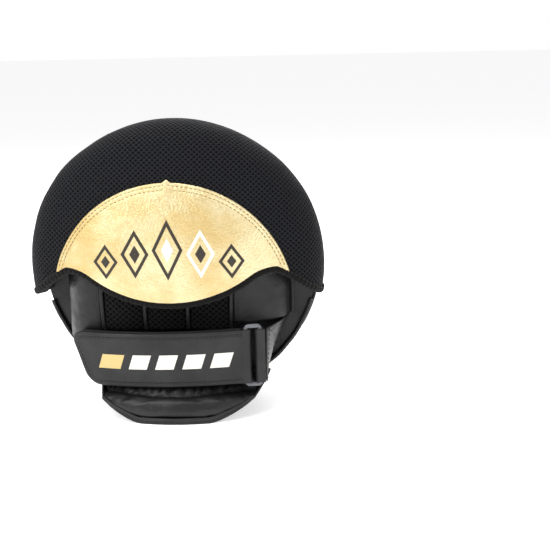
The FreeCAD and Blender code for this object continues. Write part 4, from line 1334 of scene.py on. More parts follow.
def block(centre: Pair, half: Pair, lean: float = 0.0, steps: int = 14) -> Grid:
    """Outline of an upright block, leaning sideways with its height, with points along its sides."""
    corners = np.array([(1, 1), (-1, 1), (-1, -1), (1, -1), (1, 1)]) * np.array(half)
    corners[:, 0] += corners[:, 1] * lean
    line = np.concatenate([np.linspace(a, b, steps, endpoint=False) for a, b in zip(corners, corners[1:])])
    return line + np.array(centre)


def dress_node(node: str, finish: Finish) -> None:
    """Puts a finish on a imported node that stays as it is."""
    piece = frame["nodes"][node]
    piece.data.materials.clear()
    piece.data.materials.append(finish.material())
    LOG.info("node %s dressed in %s", node, finish.name)


@dataclass
class HoleRims:
    """Pressed leather rims, one at each lace hole."""

    shop: Workshop
    rim_radius: float = 2.75
    bead: float = 0.55

    def tree(self) -> Tree:
        """Builds the tree that sets one rim on each point, facing away from the pad's axis.

        Returns:
            The tree, whose inputs are Rim, Bead and Hide.
        """
        tree = bpy.data.node_groups.new("hole_rims", "GeometryNodeTree")
        given = open_tree(tree, ("Rim", "Bead"), "Hide")
        ring = add(tree, "GeometryNodeCurvePrimitiveCircle", {"Resolution": 16, "Radius": given["Rim"]})
        wire = add(tree, "GeometryNodeCurvePrimitiveCircle", {"Resolution": 6, "Radius": given["Bead"]})
        torus = add(tree, "GeometryNodeCurveToMesh", {"Curve": ring.outputs["Curve"],
                                                      "Profile Curve": wire.outputs["Curve"]})
        normal = add(tree, "GeometryNodeInputNamedAttribute", {"Name": "facing"}, data_type="FLOAT_VECTOR")
        turned = add(tree, "FunctionNodeAlignRotationToVector", {"Vector": normal.outputs[0]}, axis="Z")
        points = add(tree, "GeometryNodeMeshToPoints", {"Mesh": given["Geometry"]})
        laid = add(tree, "GeometryNodeInstanceOnPoints",
                   {"Points": points.outputs[0], "Instance": torus.outputs[0],
                    "Rotation": turned.outputs[0]})
        return close_tree(tree, laid, given["Hide"])

    def punch(self, name: str, places: Grid) -> Piece:
        """Sets the rims.

        Args:
            name: name of the piece.
            places: middle of each rim, in millimetres.

        Returns:
            The piece.
        """
        data = bpy.data.meshes.new(name + "_places")
        data.from_pydata(self.shop.layout.to_frame(places).tolist(), [], [])
        facing = data.attributes.new("facing", "FLOAT_VECTOR", "POINT")
        facing.data.foreach_set("vector", from_axis(places).astype(np.float32).ravel())
        holder = bpy.data.objects.new(name + "_places", data)
        bpy.context.scene.collection.objects.link(holder)
        sizes = {"Rim": self.rim_radius * MM, "Bead": self.bead * MM, "Hide": BLACK_HIDE.material()}
        return grow(name, holder, self.tree(), sizes)


# ------------------------------------------------------------------ hood


@dataclass
class Hood:
    """The domed hood over the fingers: spacer mesh on padding, a gold badge and a bound mouth."""

    shop: Workshop
    thread: Seamstress
    shoulder: float = 26.0
    wall: float = 10.0
    mouth_tip: float = -24.8
    arch_top: float = 0.5
    arch_side: float = 79.0
    arch_round: float = 28.0
    soft_thick: float = 7.0  # mesh and padding together
    lining_thick: float = 1.0
    tape_width: float = 4.5
    badge_round: float = 92.4
    badge_centre: float = -24.4
    badge_thick: float = 1.3
    skirt_bend: float = 6.0  # how far past the arch its end stays level
    skirt_rise: float = 5.5  # how far its lowest corner stands over the arch circle's centre
    top_sag: float = 2.6  # how far the hood's top is pulled in by the seam behind it

    def __post_init__(self) -> None:
        """Works out the dome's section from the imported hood's size."""
        layout = self.shop.layout
        shoulder_r = layout.hood_radius - self.shoulder
        rise = layout.crown_depth - self.wall
        crown = (shoulder_r ** 2 + rise ** 2 - self.shoulder ** 2) / (2 * (rise - self.shoulder))
        centre_y = crown - layout.crown_depth
        lean = math.degrees(math.asin(shoulder_r / (crown - self.shoulder)))
        top = arc((0, centre_y), crown, -90, -90 + lean, 120)
        side = arc((shoulder_r, -self.wall), self.shoulder, -90 + lean, 0, 60)
        foot = np.array([(layout.hood_radius, y) for y in np.linspace(-self.wall, -0.2, 12)])
        line = np.concatenate([top, side[1:], foot[1:]])
        self.dome = Profile(line[:, 0], line[:, 1])
        self.rim = float(self.dome.along[-1])
        spread = math.hypot(self.arch_side, self.arch_top - self.mouth_tip)
        self.tip_round = spread ** 2 / (2 * (self.arch_top - self.mouth_tip)) - self.arch_round
        self.side_z = self.arch_top - self.arch_round

    def flatten(self, seen: Grid) -> Grid:
        """Turns points as seen from behind into the dome's unrolled plane."""
        radius = np.linalg.norm(seen, axis=-1)
        return seen * (self.dome.length_at(radius) / np.maximum(radius, 1e-9))[..., None]

    def mouth(self, raised: float, count: int = 400, to_rim: bool = True) -> Grid:
        """The mouth's edge in the unrolled plane, from left to right.

        Args:
            raised: how far inside the hood the line lies.
            count: how many points.
            to_rim: whether it runs on down the hood's side to its rim.

        Returns:
            The line.
        """
        rise = self.tip_round + self.mouth_tip - self.side_z
        lean = math.degrees(math.atan2(rise, self.arch_side))
        reach = self.arch_round + raised
        arch = arc((-self.arch_side, self.side_z), reach, 90, lean, 60)
        left = np.concatenate([self.skirt(raised), arch[1:]])
        tip = arc((0, self.mouth_tip + self.tip_round), self.tip_round - raised, 180 + lean, 360 - lean, 160)
        right = left[::-1] * np.array([-1, 1])
        line = np.concatenate([left, tip[1:], right[1:]])
        flat = self.flatten(line)
        if to_rim:
            ends = []
            for end in (flat[0], flat[-1]):
                length = np.linspace(np.linalg.norm(end), self.rim, 16)[1:, None]
                ends.append(end / np.linalg.norm(end) * length)
            flat = np.concatenate([ends[0][::-1], flat, ends[1]])
        return spread_evenly(flat, count)

    def skirt(self, raised: float) -> Grid:
        """The mouth's left end, from the hood's lowest corner in a shallow curve to the top of its arch."""
        rim = self.shop.layout.hood_radius - 0.05
        foot = self.side_z + self.skirt_rise
        start = np.array([-math.sqrt(rim ** 2 - foot ** 2), foot])
        bend = np.array([-self.arch_side - self.skirt_bend, self.arch_top + raised])
        stop = np.array([-self.arch_side, self.arch_top + raised])
        share = np.linspace(0, 1, 60)[:, None]
        return (1 - share) ** 2 * start + 2 * share * (1 - share) * bend + share ** 2 * stop

    def softness(self, flat: Grid) -> Grid:
        """How far the padded mesh stands off the plain dome: lumpy, pulled in at its rim and at its top."""
        base = self.dome.wrap(flat)
        length = np.linalg.norm(flat, axis=-1)
        to_rim = self.rim - length
        swell = 1.0 * rough(base, 52, 9.2) + 0.45 * rough(base, 21, 4.4) + 0.12 * rough(base, 7, 6.1)
        top = smooth_step(0.45, 1.0, flat[..., 1] / np.maximum(length, 1e-9))
        top = top * (1 - smooth_step(8, 46, to_rim))
        return (swell * smooth_step(0, 14, to_rim) - 1.6 * (1 - smooth_step(0, 6, to_rim))
                - self.top_sag * top)

    def surface(self, flat: Grid, lift: float | Grid = 0.0) -> Grid:
        """Points on the padded mesh, or above it."""
        return self.dome.wrap(flat, lift + self.softness(flat))

    def build_shell(self) -> None:
        """The padded mesh and its lining."""
        columns, rows = 300, 110
        low = self.mouth(0.3, columns)
        start, stop = (math.atan2(end[1], end[0]) for end in (low[0], low[-1]))
        turn = np.linspace(start % (2 * math.pi), stop, columns)
        high = stack(self.rim * np.cos(turn), self.rim * np.sin(turn))
        share = np.linspace(0, 1, rows)[:, None, None] ** 0.9
        flat = low[None] * (1 - share) + high[None] * share
        front = self.surface(flat)
        back = self.dome.wrap(flat, -self.soft_thick)
        self.shop.put("hood_padded_mesh", slab(front, back, uv=flat * MM), HOOD_NET, "hood_mesh",
                      "hood_padding", slot="spacer_mesh", fill=0.5, sharp=75)
        coarse = flat[::3, ::3]
        inner = slab(self.dome.wrap(coarse, -self.soft_thick - 0.05),
                     self.dome.wrap(coarse, -self.soft_thick - self.lining_thick), uv=coarse * MM)
        self.shop.put("hood_lining_cloth", inner, LINING, "hood_lining", slot="lining_cloth", sharp=75)

    def badge_grid(self, columns: int = 240, rows: int = 64) -> tuple[Grid, Grid]:
        """The badge in the unrolled plane.

        Returns:
            Rows from its lower edge to its upper one, and each point's distance from the upper edge.
        """
        low = self.mouth(self.tape_width - 0.6, 900, to_rim=False)
        seen = self.dome.at(np.linalg.norm(low, axis=1))[0][:, None] * unit(low)
        off = np.linalg.norm(seen - np.array([0, self.badge_centre]), axis=1)
        inside = np.nonzero(off < self.badge_round)[0]
        low = spread_evenly(low[inside[0]:inside[-1] + 1], columns)
        ends = [self.dome.at(np.linalg.norm(p))[0] * unit(p) - np.array([0, self.badge_centre])
                for p in (low[0], low[-1])]
        turns = [math.degrees(math.atan2(e[1], e[0])) for e in ends]
        top = arc((0, self.badge_centre), self.badge_round, turns[0], turns[1], columns)
        tip = 2.4 * np.maximum(0, 1 - np.abs(top[:, 0]) / 3.4)
        top[:, 1] += tip
        high = self.flatten(top)
        share = 1 - (1 - np.linspace(0, 1, rows)) ** 1.5
        flat = low[None] * (1 - share[:, None, None]) + high[None] * share[:, None, None]
        return flat, np.linalg.norm(flat - high[None], axis=-1)

    def badge_lift(self, off: Grid) -> Grid:
        """Height of the badge over the mesh: folded edge, two stitch channels and a quilted middle."""
        edge = 0.5 + (self.badge_thick - 0.2) * (1 - np.exp(-off / 0.7))
        channels = sum(np.exp(-(((off - d) / 0.8) ** 2)) for d in BADGE_ROWS)
        quilt = 0.9 * smooth_step(6, 26, off)
        return edge - 0.5 * channels + quilt

    def build_badge(self) -> None:
        """The gold badge with its double stitching and its printed ornament."""
        flat, off = self.badge_grid()
        front = self.surface(flat, self.badge_lift(off)) + self.gathers(flat, off)
        self.shop.put("badge_gold_leather", slab(front, self.surface(flat, -0.6), uv=flat * MM), BADGE_FOIL_LIT,
                      "hood_badge", slot="gold_leather", sharp=75)
        for row in BADGE_ROWS:
            nearest = np.argmin(np.abs(off - row), axis=0)
            line = np.array([flat[nearest[k], k] for k in range(5, flat.shape[1] - 5)])
            line = running_mean(line, 9)
            self.thread.sew(BADGE_THREAD, self.surface(line, self.badge_lift(np.full(len(line), row)) + 0.1))
        self.build_ornament()

    def gathers(self, flat: Grid, off: Grid) -> Grid:
        """Small puckers that the stitches draw in the badge's leather along its upper edge."""
        turn = np.arctan2(flat[..., 0], flat[..., 1] - self.badge_centre)
        depth = 0.16 * np.cos(turn * self.badge_round * 2 * math.pi / 3.6)
        depth = depth * np.exp(-((off - 4.2) / 3.0) ** 2)
        return stack(0 * depth, -depth, 0 * depth)

    def build_ornament(self) -> None:
        """A plain row of five rhombi printed on the badge."""
        dark, pale = [], []
        for x, z, half in ORNAMENT:
            outer = np.array(half)
            inner = outer - np.array([1.0, 1.0 * half[1] / half[0]]) * 2.6
            bands = pale if 0 < x < 40 else dark
            bands.append(self.print_band(rhombus((x, z), outer), rhombus((x, z), inner)))
            core = inner * 0.5
            bands = pale if x == 0 else dark
            bands.append(self.print_band(rhombus((x, z), core), rhombus((x, z), core * 0.03)))
        for name, ink, slot, shapes in (("badge_ornament_dark", BROWN_INK, "black_print", dark),
                                        ("badge_ornament_pale", WHITE_INK, "white_print", pale)):
            self.shop.put(name, shapes, ink, slot=slot)

    def print_band(self, outer: Grid, inner: Grid) -> Shape:
        """A printed band between two outlines seen from behind, on the badge's own surface."""
        share = np.linspace(0, 1, 4)[:, None, None]
        spot = self.flatten(outer * (1 - share) + inner * share)
        top = self.badge_centre + self.badge_round
        radius = np.linalg.norm(spot - np.array([0, self.badge_centre]), axis=-1)
        lift = self.badge_lift(np.maximum(top - self.badge_centre - radius, 8.0)) + 0.16
        return slab(self.surface(spot, lift), self.surface(spot, lift - 0.4), uv=spot * MM, wrap=True)

    def build_tape(self) -> None:
        """The soft tape folded over the mouth's edge, drawn in a little by its stitches."""
        line = self.mouth(0.0, 620)
        inner = self.mouth(3.0, 620)
        depth = self.soft_thick + self.lining_thick
        path = self.dome.wrap(line)
        out = unit(self.dome.wrap(line, 1.0) - path)
        ahead = unit(np.gradient(path, axis=0))
        back = unit(np.cross(out, ahead))
        if np.einsum("ij,ij->i", back, self.dome.wrap(inner) - path).sum() < 0:
            back = -back
        section = rounded_box((-depth - 1.2, -1.6), (1.3, self.tape_width), 2.4, 6)
        steps = lengths(path)
        pulse = 1 + 0.035 * np.cos(steps * 2 * math.pi / 3.8) + 0.05 * rough(path, 11, 2.8)
        centre = section.mean(axis=0)
        shaped = centre + (section - centre)[None] * pulse[:, None, None]
        lift = self.softness(line)[:, None] * 0.8
        self.shop.put("mouth_tape", sweep(path + out * lift, out, back, shaped), EDGE_TAPE, "hood_tape",
                      slot="binding_tape", sharp=70)
        self.thread.sew(SEAM_THREAD, path + out * (lift + 1.25) + back * (self.tape_width - 1.4))

    def build(self) -> None:
        """Builds every piece of the hood."""
        for step in (self.build_shell, self.build_badge, self.build_tape):
            step()


# distances of the badge's two stitch rows from its upper edge
BADGE_ROWS = (2.4, 5.6)
# the badge's rhombi: place as seen from behind, and half width and height
ORNAMENT = ((-47, 10, (9.5, 13)), (-24.5, 16, (10.5, 18)), (0, 19, (11.5, 22.5)), (24.5, 16, (10.5, 18)),
            (47, 10, (9.5, 13)))


# ------------------------------------------------------------------ hand pocket


@dataclass
class HandPocket:
    """What the hood hides: mesh panels and ribs over the hand, thumb sleeve, side panel and palm grip."""

    shop: Workshop
    thread: Seamstress
    panel_thick: float = 2.5
    leather: float = 1.6
    swell: float = 1.31
    thumb_swell: float = 0.61
    side_swell: float = 0.65
    seam_reach: float = 88.0  # how far from the middle the sleeve and the side panel are sewn down

    def bowed(self, start: Grid, stop: Grid, radius: float, count: int) -> Grid:
        """An arc in plan between two points, bulging away from the pad."""
        chord = stop - start
        half = np.linalg.norm(chord) / 2
        out = np.array([chord[1], -chord[0]]) / (2 * half)
        if out[1] > 0:
            out = -out
        centre = (start + stop) / 2 - out * math.sqrt(max(radius ** 2 - half ** 2, 0))
        begin, end = (math.atan2(*(p - centre)[::-1]) for p in (start, stop))
        if end - begin > math.pi:
            end -= 2 * math.pi
        if begin - end > math.pi:
            end += 2 * math.pi
        turn = np.linspace(begin, end, count)
        return stack(centre[0] + radius * np.cos(turn), centre[1] + radius * np.sin(turn))

    def raise_sheet(self, plan: Grid, low: float, high: float, rows: int, lumps: float,
                    seed: float) -> Grid:
        """Stands a plan line up as a softly uneven sheet.

        Args:
            plan: its line in plan.
            low: its lower edge.
            high: its upper edge.
            rows: how many rows of points.
            lumps: how uneven it is.
            seed: moves the unevenness.

        Returns:
            Rows by columns of points.
        """
        z = np.linspace(low, high, rows)[:, None]
        sheet = upright(plan, z)
        normal = grid_normals(sheet)
        if normal[..., 1].sum() > 0:
            normal = -normal
        fade = np.sin(np.linspace(0, math.pi, plan.shape[0]))[None] ** 0.5
        bumps = rough(sheet * np.array([1, 1, 0.55]), 16, seed) + 0.4 * rough(sheet, 6, seed + 7)
        return sheet + normal * (lumps * fade * bumps)[..., None]

    @staticmethod
    def strip(path: Grid, section: Grid) -> Shape:
        """An upright strip whose section lies across X and out of the back."""
        side, up = (np.tile(way, (len(path), 1)) for way in ([1.0, 0.0, 0.0], [0.0, -1.0, 0.0]))
        return sweep(path, side, up, section)

    def build_vault(self) -> None:
        """Three mesh panels and the four piped ribs between them."""
        layout = self.shop.layout
        for side in ("left", "middle", "right"):
            node = f"knuckle_mesh_{side}"
            low, high = layout.box(node)
            start, stop = np.array([low[0], 0.0]), np.array([high[0], 0.0])
            depth = high[1] - self.panel_thick
            start[1] = stop[1] = depth
            plan = self.bowed(start, stop, (high[0] - low[0]) * self.swell, 26)
            sheet = self.raise_sheet(plan, low[2], high[2], 50, 0.5, len(side))
            uv = stack(sheet[..., 0], sheet[..., 2]) * MM
            self.shop.put(f"{node}_cloth", thicken(sheet, self.panel_thick, uv=uv), KNUCKLE_NET, node,
                          slot="spacer_mesh", fill=0.3)
        for number in range(1, 5):
            low, high = layout.box(f"rib_{number}")
            z = np.linspace(low[2], high[2], 60)
            middle = (low[0] + high[0]) / 2
            path = stack(middle + 0.35 * np.sin(z / 9 + number), low[1] + 1.6 + 0.2 * np.sin(z / 13), z)
            section = rounded_box((-1.6, -2.4), (1.6, 1.6), 1.3, 5)
            self.shop.put(f"rib_{number}_piping", self.strip(path, section), BLACK_HIDE, f"rib_{number}")
            self.thread.sew(SEAM_THREAD, path + np.array([1.1, -1.5, 0]))

    def build_sides(self) -> None:
        """Thumb sleeve, side panel and its edging."""
        layout = self.shop.layout
        low, high = layout.box("thumb_sleeve")
        edge = layout.box("rib_1")[0]
        start, stop = np.array([-self.seam_reach, -0.2]), np.array([edge[0], edge[1] + 1.5])
        chord = np.linalg.norm(stop - start)
        plan = self.bowed(start, stop, chord * self.thumb_swell, 60)
        sheet = self.raise_sheet(plan, low[2], high[2], 70, 0.8, 3.0)
        self.shop.put("thumb_sleeve_leather", thicken(sheet, self.leather), SOFT_HIDE, "thumb_sleeve",
                      fill=0.5)
        self.thread.sew(SEAM_THREAD, sheet[:, -4] + np.array([-0.2, -0.35, 0]))

        low, high = layout.box("side_panel")
        start, stop = np.array([low[0], layout.box("rib_4")[0][1] + 1.5]), np.array([self.seam_reach, -0.2])
        chord = np.linalg.norm(stop - start)
        plan = self.bowed(start, stop, chord * self.side_swell, 60)
        sheet = self.raise_sheet(plan, low[2], high[2], 60, 0.55, 8.0)
        self.shop.put("side_panel_leather", thicken(sheet, self.leather), BLACK_HIDE, "side_panel")
        self.thread.sew(SEAM_THREAD, sheet[:, -9] + np.array([0.3, -0.25, 0]))
        self.thread.sew(SEAM_THREAD, sheet[:, 4] + np.array([0, -0.3, 0]))

        low, high = layout.box("side_edging")
        z = np.linspace(low[2], high[2], 60)
        path = stack((low[0] + high[0]) / 2, (low[1] + high[1]) / 2, z)
        section = rounded_box((-1.5, -0.9), (1.5, 0.9), 0.7, 4)
        self.shop.put("side_edging_leather", self.strip(path, section), BLACK_HIDE, "side_edging")
        self.thread.sew(SEAM_THREAD, path + np.array([0, -0.95, 0]))

    def build_grip(self) -> None:
        """The domed palm grip on the back panel."""
        low, high = self.shop.layout.box("palm_ball_cover")
        reach, height = (high[0] - low[0]) / 2, high[1] - low[1]
        curve = (reach ** 2 + height ** 2) / (2 * height)
        lean = math.degrees(math.asin(reach / curve))
        line = arc((0, curve - height - 0.2), curve, -90, -90 + lean, 30)
        dome = Profile(line[:, 0], line[:, 1])
        length, turn = np.meshgrid(dome.along, full_turn(90), indexing="ij")
        flat = polar(length, turn)
        base = dome.wrap(flat)
        shift = np.array([0, 0, (low[2] + high[2]) / 2])
        seams = 0.5 * np.exp(-((np.abs(base[..., 0]) / 1.1) ** 2))
        front = dome.wrap(flat, 0.4 * rough(base, 14, 2.0) - seams) + shift
        back = dome.wrap(flat, -self.leather) + shift
        self.shop.put("palm_grip_leather", slab(front, back, wrap=True), SOFT_HIDE, "palm_ball_cover",
                      fill=0.9)
        dress_node("palm_ball_foam", GREY_FOAM)
        across = np.linspace(-0.86, 0.86, 40) * dome.along[-1]
        for side in (-2.4, 2.4):
            self.thread.sew(SEAM_THREAD, dome.wrap(stack(0 * across + side, across), 0.1) + shift)

    def build(self) -> None:
        """Builds every piece of the pocket."""
        for step in (self.build_vault, self.build_sides, self.build_grip):
            step()


# ------------------------------------------------------------------ wrist strap


@dataclass
class WristStrap:
    """The strap with its folded-back flap, its ring, and the leathers that hold both to the pad."""

    shop: Workshop
    thread: Seamstress
    curve: float = 220.0
    thick: float = 2.0
    leather: float = 1.6
    wire: float = 1.6
    wire_gap: float = 0.3
    leg: float = 3.5
    flap_top: float = -83.0
    flap_foot: float = -68.0
    corner: float = 10.0
    slope: float = 0.034  # how much the strap falls away from the ring

    def __post_init__(self) -> None:
        """Reads the ring's bars from the joints and the strap's edges from its packed layers."""
        layout = self.shop.layout
        pivots = {j["name"]: np.array(j["pos_m"]) / MM for j in frame["record"]["behaviour"]["joints"]}
        shift = np.array([0, layout.back_y, layout.centre_z])
        self.bar = (pivots["flap_peel"] - shift)[:2]
        self.hook = (pivots["ring_swing"] - shift)[:2]
        reach = self.hook - self.bar
        self.lean = math.atan2(reach[1], reach[0])
        self.centre = self.bar + self.curve * np.array([-math.sin(self.lean), math.cos(self.lean)])
        self.low, self.high = (float(corner[2]) for corner in layout.box("strap_base"))
        self.off = self.wire + self.wire_gap + self.thick / 2

    def on_curve(self, radius: Grid | float, turn: Grid) -> Grid:
        """Plan points on the strap's curve; turn is measured from straight back towards the ring."""
        return stack(self.centre[0] + radius * np.sin(turn), self.centre[1] - radius * np.cos(turn))

    def turn_at(self, x: Grid | float, radius: float) -> Grid:
        """Angle at which the curve reaches x."""
        return np.arcsin((x - self.centre[0]) / radius)

    def band(self, first: float, last: Grid, low: float, high: float, inner: float, outer: float,
             edge: float = 0.5, lumps: float = 0.3) -> tuple[Shape, Callable[[Grid, Grid], Grid]]:
        """A length of flat strap.

        Args:
            first: angle of its end beside the ring.
            last: angle of its other end at each row.
            low: its lower edge.
            high: its upper edge.
            inner: radius of its inner side.
            outer: radius of its outer side.
            edge: how far its outer side sinks at the border.
            lumps: how uneven its outer side is.

        Returns:
            The strap, and a function that gives points on its outer side from angle and height.
        """
        rows = len(last)
        z = np.linspace(low, high, rows)[:, None] + np.zeros((1, 150))
        turn = first + (last[:, None] - first) * np.linspace(0, 1, 150)[None]

        def outside(at: Grid, height: Grid, extra: float | Grid = 0.0) -> Grid:
            """Points on the outer side."""
            plan = self.on_curve(outer, at)
            base = stack(plan[..., 0], plan[..., 1], height)
            wave = lumps * (rough(base, 34, 4.0) + 0.3 * rough(base, 9, 1.0))
            wave = wave * smooth_step(0, 9 / outer, first - at)
            plan = self.on_curve(outer + wave + extra, at)
            return stack(plan[..., 0], plan[..., 1], height + self.fall(plan[..., 0]))

        rim = np.minimum.reduce([z - low, high - z, (turn - last[:, None]) * outer])
        sink = -edge * (np.exp(-np.maximum(rim, 0) / 0.8) + 0.6 * np.exp(-(((rim - 3.2) / 0.7) ** 2)))
        inside = self.on_curve(inner, turn)
        front = outside(turn, z, sink)
        return slab(front, stack(inside[..., 0], inside[..., 1], z + self.fall(inside[..., 0])),
                    uv=stack(turn * outer, z) * MM), outside

    def fall(self, x: Grid) -> Grid:
        """How far the strap has come down at x."""
        return np.minimum(x - self.bar[0] + 6.0, 0.0) * self.slope

    def flap_end(self, z: Grid, inset: float = 0.0) -> Grid:
        """Where the flap's slanted and rounded end lies at a height."""
        low, high, round_it = self.low + inset, self.high - inset, self.corner - 0.6 * inset
        share = (z - self.low) / (self.high - self.low)
        line = self.flap_foot + (self.flap_top - self.flap_foot) * share + inset
        near = np.minimum(z - low, high - z)
        cut = round_it - np.sqrt(np.maximum(round_it ** 2 - np.maximum(round_it - near, 0) ** 2, 0))
        return line + cut

    def build_layers(self) -> None:
        """The strap's under layer and flap, their pile, and the flap's stitching and printed bars."""
        under = self.curve - self.off - self.thick / 2
        over = self.curve + self.off - self.thick / 2
        first = self.lean - (self.leg + 0.4) / self.curve
        last = self.turn_at(self.flap_end(np.linspace(self.low, self.high, 24), 1.2), under)
        shape, _ = self.band(first, last, self.low, self.high, under, under + self.thick)
        self.shop.put("strap_under_layer", shape, STRAP_HIDE, "strap_base")
        top = under + self.thick
        for node, body, inner, outer in (("loop_pile", Body.PAD, top - 0.1, top + 1.4),
                                         ("hook_pile", Body.FLAP, over - 1.4, over + 0.1)):
            box = self.shop.layout.box(node)
            ends = [float(self.turn_at(box[k][0], inner)) for k in (1, 0)]
            shape, _ = self.band(ends[0], np.full(16, ends[1]), box[0][2], box[1][2], inner, outer,
                                 lumps=0.15)
            self.shop.put(f"{node}_strip", shape, TOUCH_PILE, node, slot="touch_pile", body=body)

        z = np.linspace(self.low, self.high, 70)
        last = self.turn_at(self.flap_end(z), over + self.thick)
        start = self.lean - self.leg / self.curve
        shape, outside = self.band(start, last, self.low, self.high, over, over + self.thick, edge=0.7)
        self.shop.put("strap_flap_leather", shape, STRAP_HIDE, "strap_flap", body=Body.FLAP)
        self.stitch_flap(outside, start, over + self.thick)
        self.print_bars(outside, over + self.thick)

    def stitch_flap(self, outside: Callable, start: float, outer: float) -> None:
        """One stitch line a little inside the flap's border."""
        inset = 3.2
        z = np.linspace(self.low + inset, self.high - inset, 60)
        end = self.turn_at(self.flap_end(z, inset), outer)
        top = np.linspace(start - 0.004, end[-1], 60)
        foot = np.linspace(end[0], start - 0.004, 60)
        turn = np.concatenate([top, end[::-1][1:], foot[1:]])
        height = np.concatenate([np.full(60, z[-1]), z[::-1][1:], np.full(59, z[0])])
        self.thread.sew(STRAP_THREAD, outside(turn, height, 0.12))

    def print_bars(self, outside: Callable, outer: float) -> None:
        """Plain leaning bars printed along the flap: one gold, the rest white."""
        middle = (self.low + self.high) / 2 - 1
        for name, ink, slot, bars in (("strap_bar_gold", GOLD_INK, "gold_leather", STRAP_BARS[:1]),
                                      ("strap_bars_white", WHITE_INK, "white_print", STRAP_BARS[1:])):
            shapes = []
            for x, half in bars:
                outline = block((x, middle), (half, 5.6), lean=0.35)
                core = block((x, middle), (half * 0.02, 0.1), lean=0.35)
                flat = outline * (1 - LAYERS) + core * LAYERS
                turn = self.turn_at(flat[..., 0], outer)
                front, back = (outside(turn, flat[..., 1], lift) for lift in (0.14, -0.3))
                shapes.append(slab(front, back, wrap=True))
            self.shop.put(name, shapes, ink, slot=slot, body=Body.FLAP)

    def round_bar(self, bar: Grid, facing: float) -> Grid:
        """Middle line, in plan, of leather folded round a bar, from its outer leg to its inner one.

        Args:
            bar: the bar's place in plan.
            facing: 1 where it goes round the bar's side that faces the tab, -1 for the other side.

        Returns:
            The line.
        """
        ahead = facing * np.array([math.cos(self.lean), math.sin(self.lean)])
        outward = np.array([math.sin(self.lean), -math.cos(self.lean)])
        turn = np.linspace(0, math.pi, 30)[:, None]
        bend = bar + self.off * (np.cos(turn) * outward + np.sin(turn) * ahead)
        return np.concatenate([bend[:1] - self.leg * ahead, bend, bend[-1:] - self.leg * ahead])

    def loop(self, name: str, node: str, body: Body, plan: Grid) -> None:
        """A leather turn round one of the ring's bars.

        Args:
            name: name of the piece.
            node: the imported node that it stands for.
            body: the body that it rides on.
            plan: its middle line in plan.
        """
        z = np.linspace(self.low, self.high, 22)[:, None]
        sheet = upright(spread_evenly(plan, 60), z)
        normal = grid_normals(sheet)
        half = self.thick / 2 - 0.05
        wave = (0.12 * rough(sheet, 8, 5.0))[..., None]
        shape = slab(sheet + normal * (half + wave), sheet - normal * half)
        self.shop.put(name, shape, STRAP_HIDE, node, body=body)

    def build_ring(self) -> None:
        """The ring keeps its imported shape; a turn of leather goes round each of its bars."""
        dress_node("strap_ring", GREY_ACETAL)
        self.loop("strap_turn_leather", "strap_turn", Body.FLAP, self.round_bar(self.bar, 1.0))
        self.loop("tab_loop_leather", "tab_loop", Body.PAD, self.round_bar(self.hook, -1.0))

    def leather_wall(self, name: str, node: str, foot: Grid, head: Grid, seed: float) -> Grid:
        """A leather wall between a seam on the back panel and an edge beside the strap.

        Args:
            name: name of the piece.
            node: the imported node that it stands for.
            foot: lower and upper end of its seam.
            head: lower and upper end of its other edge.
            seed: moves its unevenness.

        Returns:
            Its outer points, rows from its low edge to its high one.
        """
        up = np.linspace(0, 1, 40)[:, None, None]
        out = np.linspace(0, 1, 40)[None, :, None]
        seam = foot[0] * (1 - up) + foot[1] * up
        rim = head[0] * (1 - up) + head[1] * up
        sheet = seam * (1 - out) + rim * out
        normal = grid_normals(sheet)
        if (normal[..., 0] * sheet[..., 0]).sum() < 0:
            normal = -normal
        bow = 1.4 * np.sin(math.pi * out[..., 0]) * np.ones((40, 1))
        bumps = 0.7 * rough(sheet, 17, seed) * np.sin(math.pi * out[..., 0])
        sheet = sheet + normal * (bow + bumps)[..., None]
        self.shop.put(name, thicken(sheet, self.leather), SOFT_HIDE, node)
        return sheet + normal * 0.12

    def build_walls(self) -> None:
        """The tab that holds the ring, sewn in a triangle, and the anchor that holds the strap."""
        low, high = self.shop.layout.box("ring_tab")
        head_x, head_y = self.tab_head()
        foot = np.array([[low[0] + self.leather, -0.2, low[2]], [high[0], -0.2, high[2]]])
        head = np.array([[head_x, head_y, low[2]], [head_x, head_y, high[2]]])
        sheet = self.leather_wall("ring_tab_leather", "ring_tab", foot, head, 2.0)
        for start, stop in TAB_STITCHES:
            line = np.linspace(start, stop, 30)
            rows = np.clip((line[:, 1] * 39).round().astype(int), 0, 39)
            columns = np.clip((line[:, 0] * 39).round().astype(int), 0, 39)
            self.thread.sew(SEAM_THREAD, sheet[rows, columns])
        low, high = self.shop.layout.box("strap_anchor")
        foot = np.array([[high[0] - self.leather, -0.2, low[2]], [low[0], -0.2, high[2]]])
        inner = self.curve - self.off - self.thick / 2
        ends = [self.on_curve(inner, self.turn_at(x, inner))
                for x in (self.flap_foot + 1.2, self.flap_top + 5.6)]
        head = np.array([[ends[0][0] - 0.4, ends[0][1], low[2]], [ends[1][0] - 0.4, ends[1][1], high[2]]])
        sheet = self.leather_wall("strap_anchor_leather", "strap_anchor", foot, head, 7.0)
        self.thread.sew(SEAM_THREAD, sheet[:, 36])

    def tab_head(self) -> Pair:
        """Where the tab meets the leather round the ring's bar."""
        reach = self.leg + self.wire_gap
        return (float(self.hook[0] + reach * math.cos(self.lean) + self.thick),
                float(self.hook[1] + reach * math.sin(self.lean) - self.leather))

    def build(self) -> None:
        """Builds every piece of the strap."""
        for step in (self.build_layers, self.build_ring, self.build_walls):
            step()


# middles and half widths of the flap's printed bars
STRAP_BARS = ((-48.0, 9.0), (-25.0, 7.2), (-4.0, 7.2), (17.0, 7.2), (38.0, 7.2))
LAYERS = np.linspace(0, 1, 3)[:, None, None]
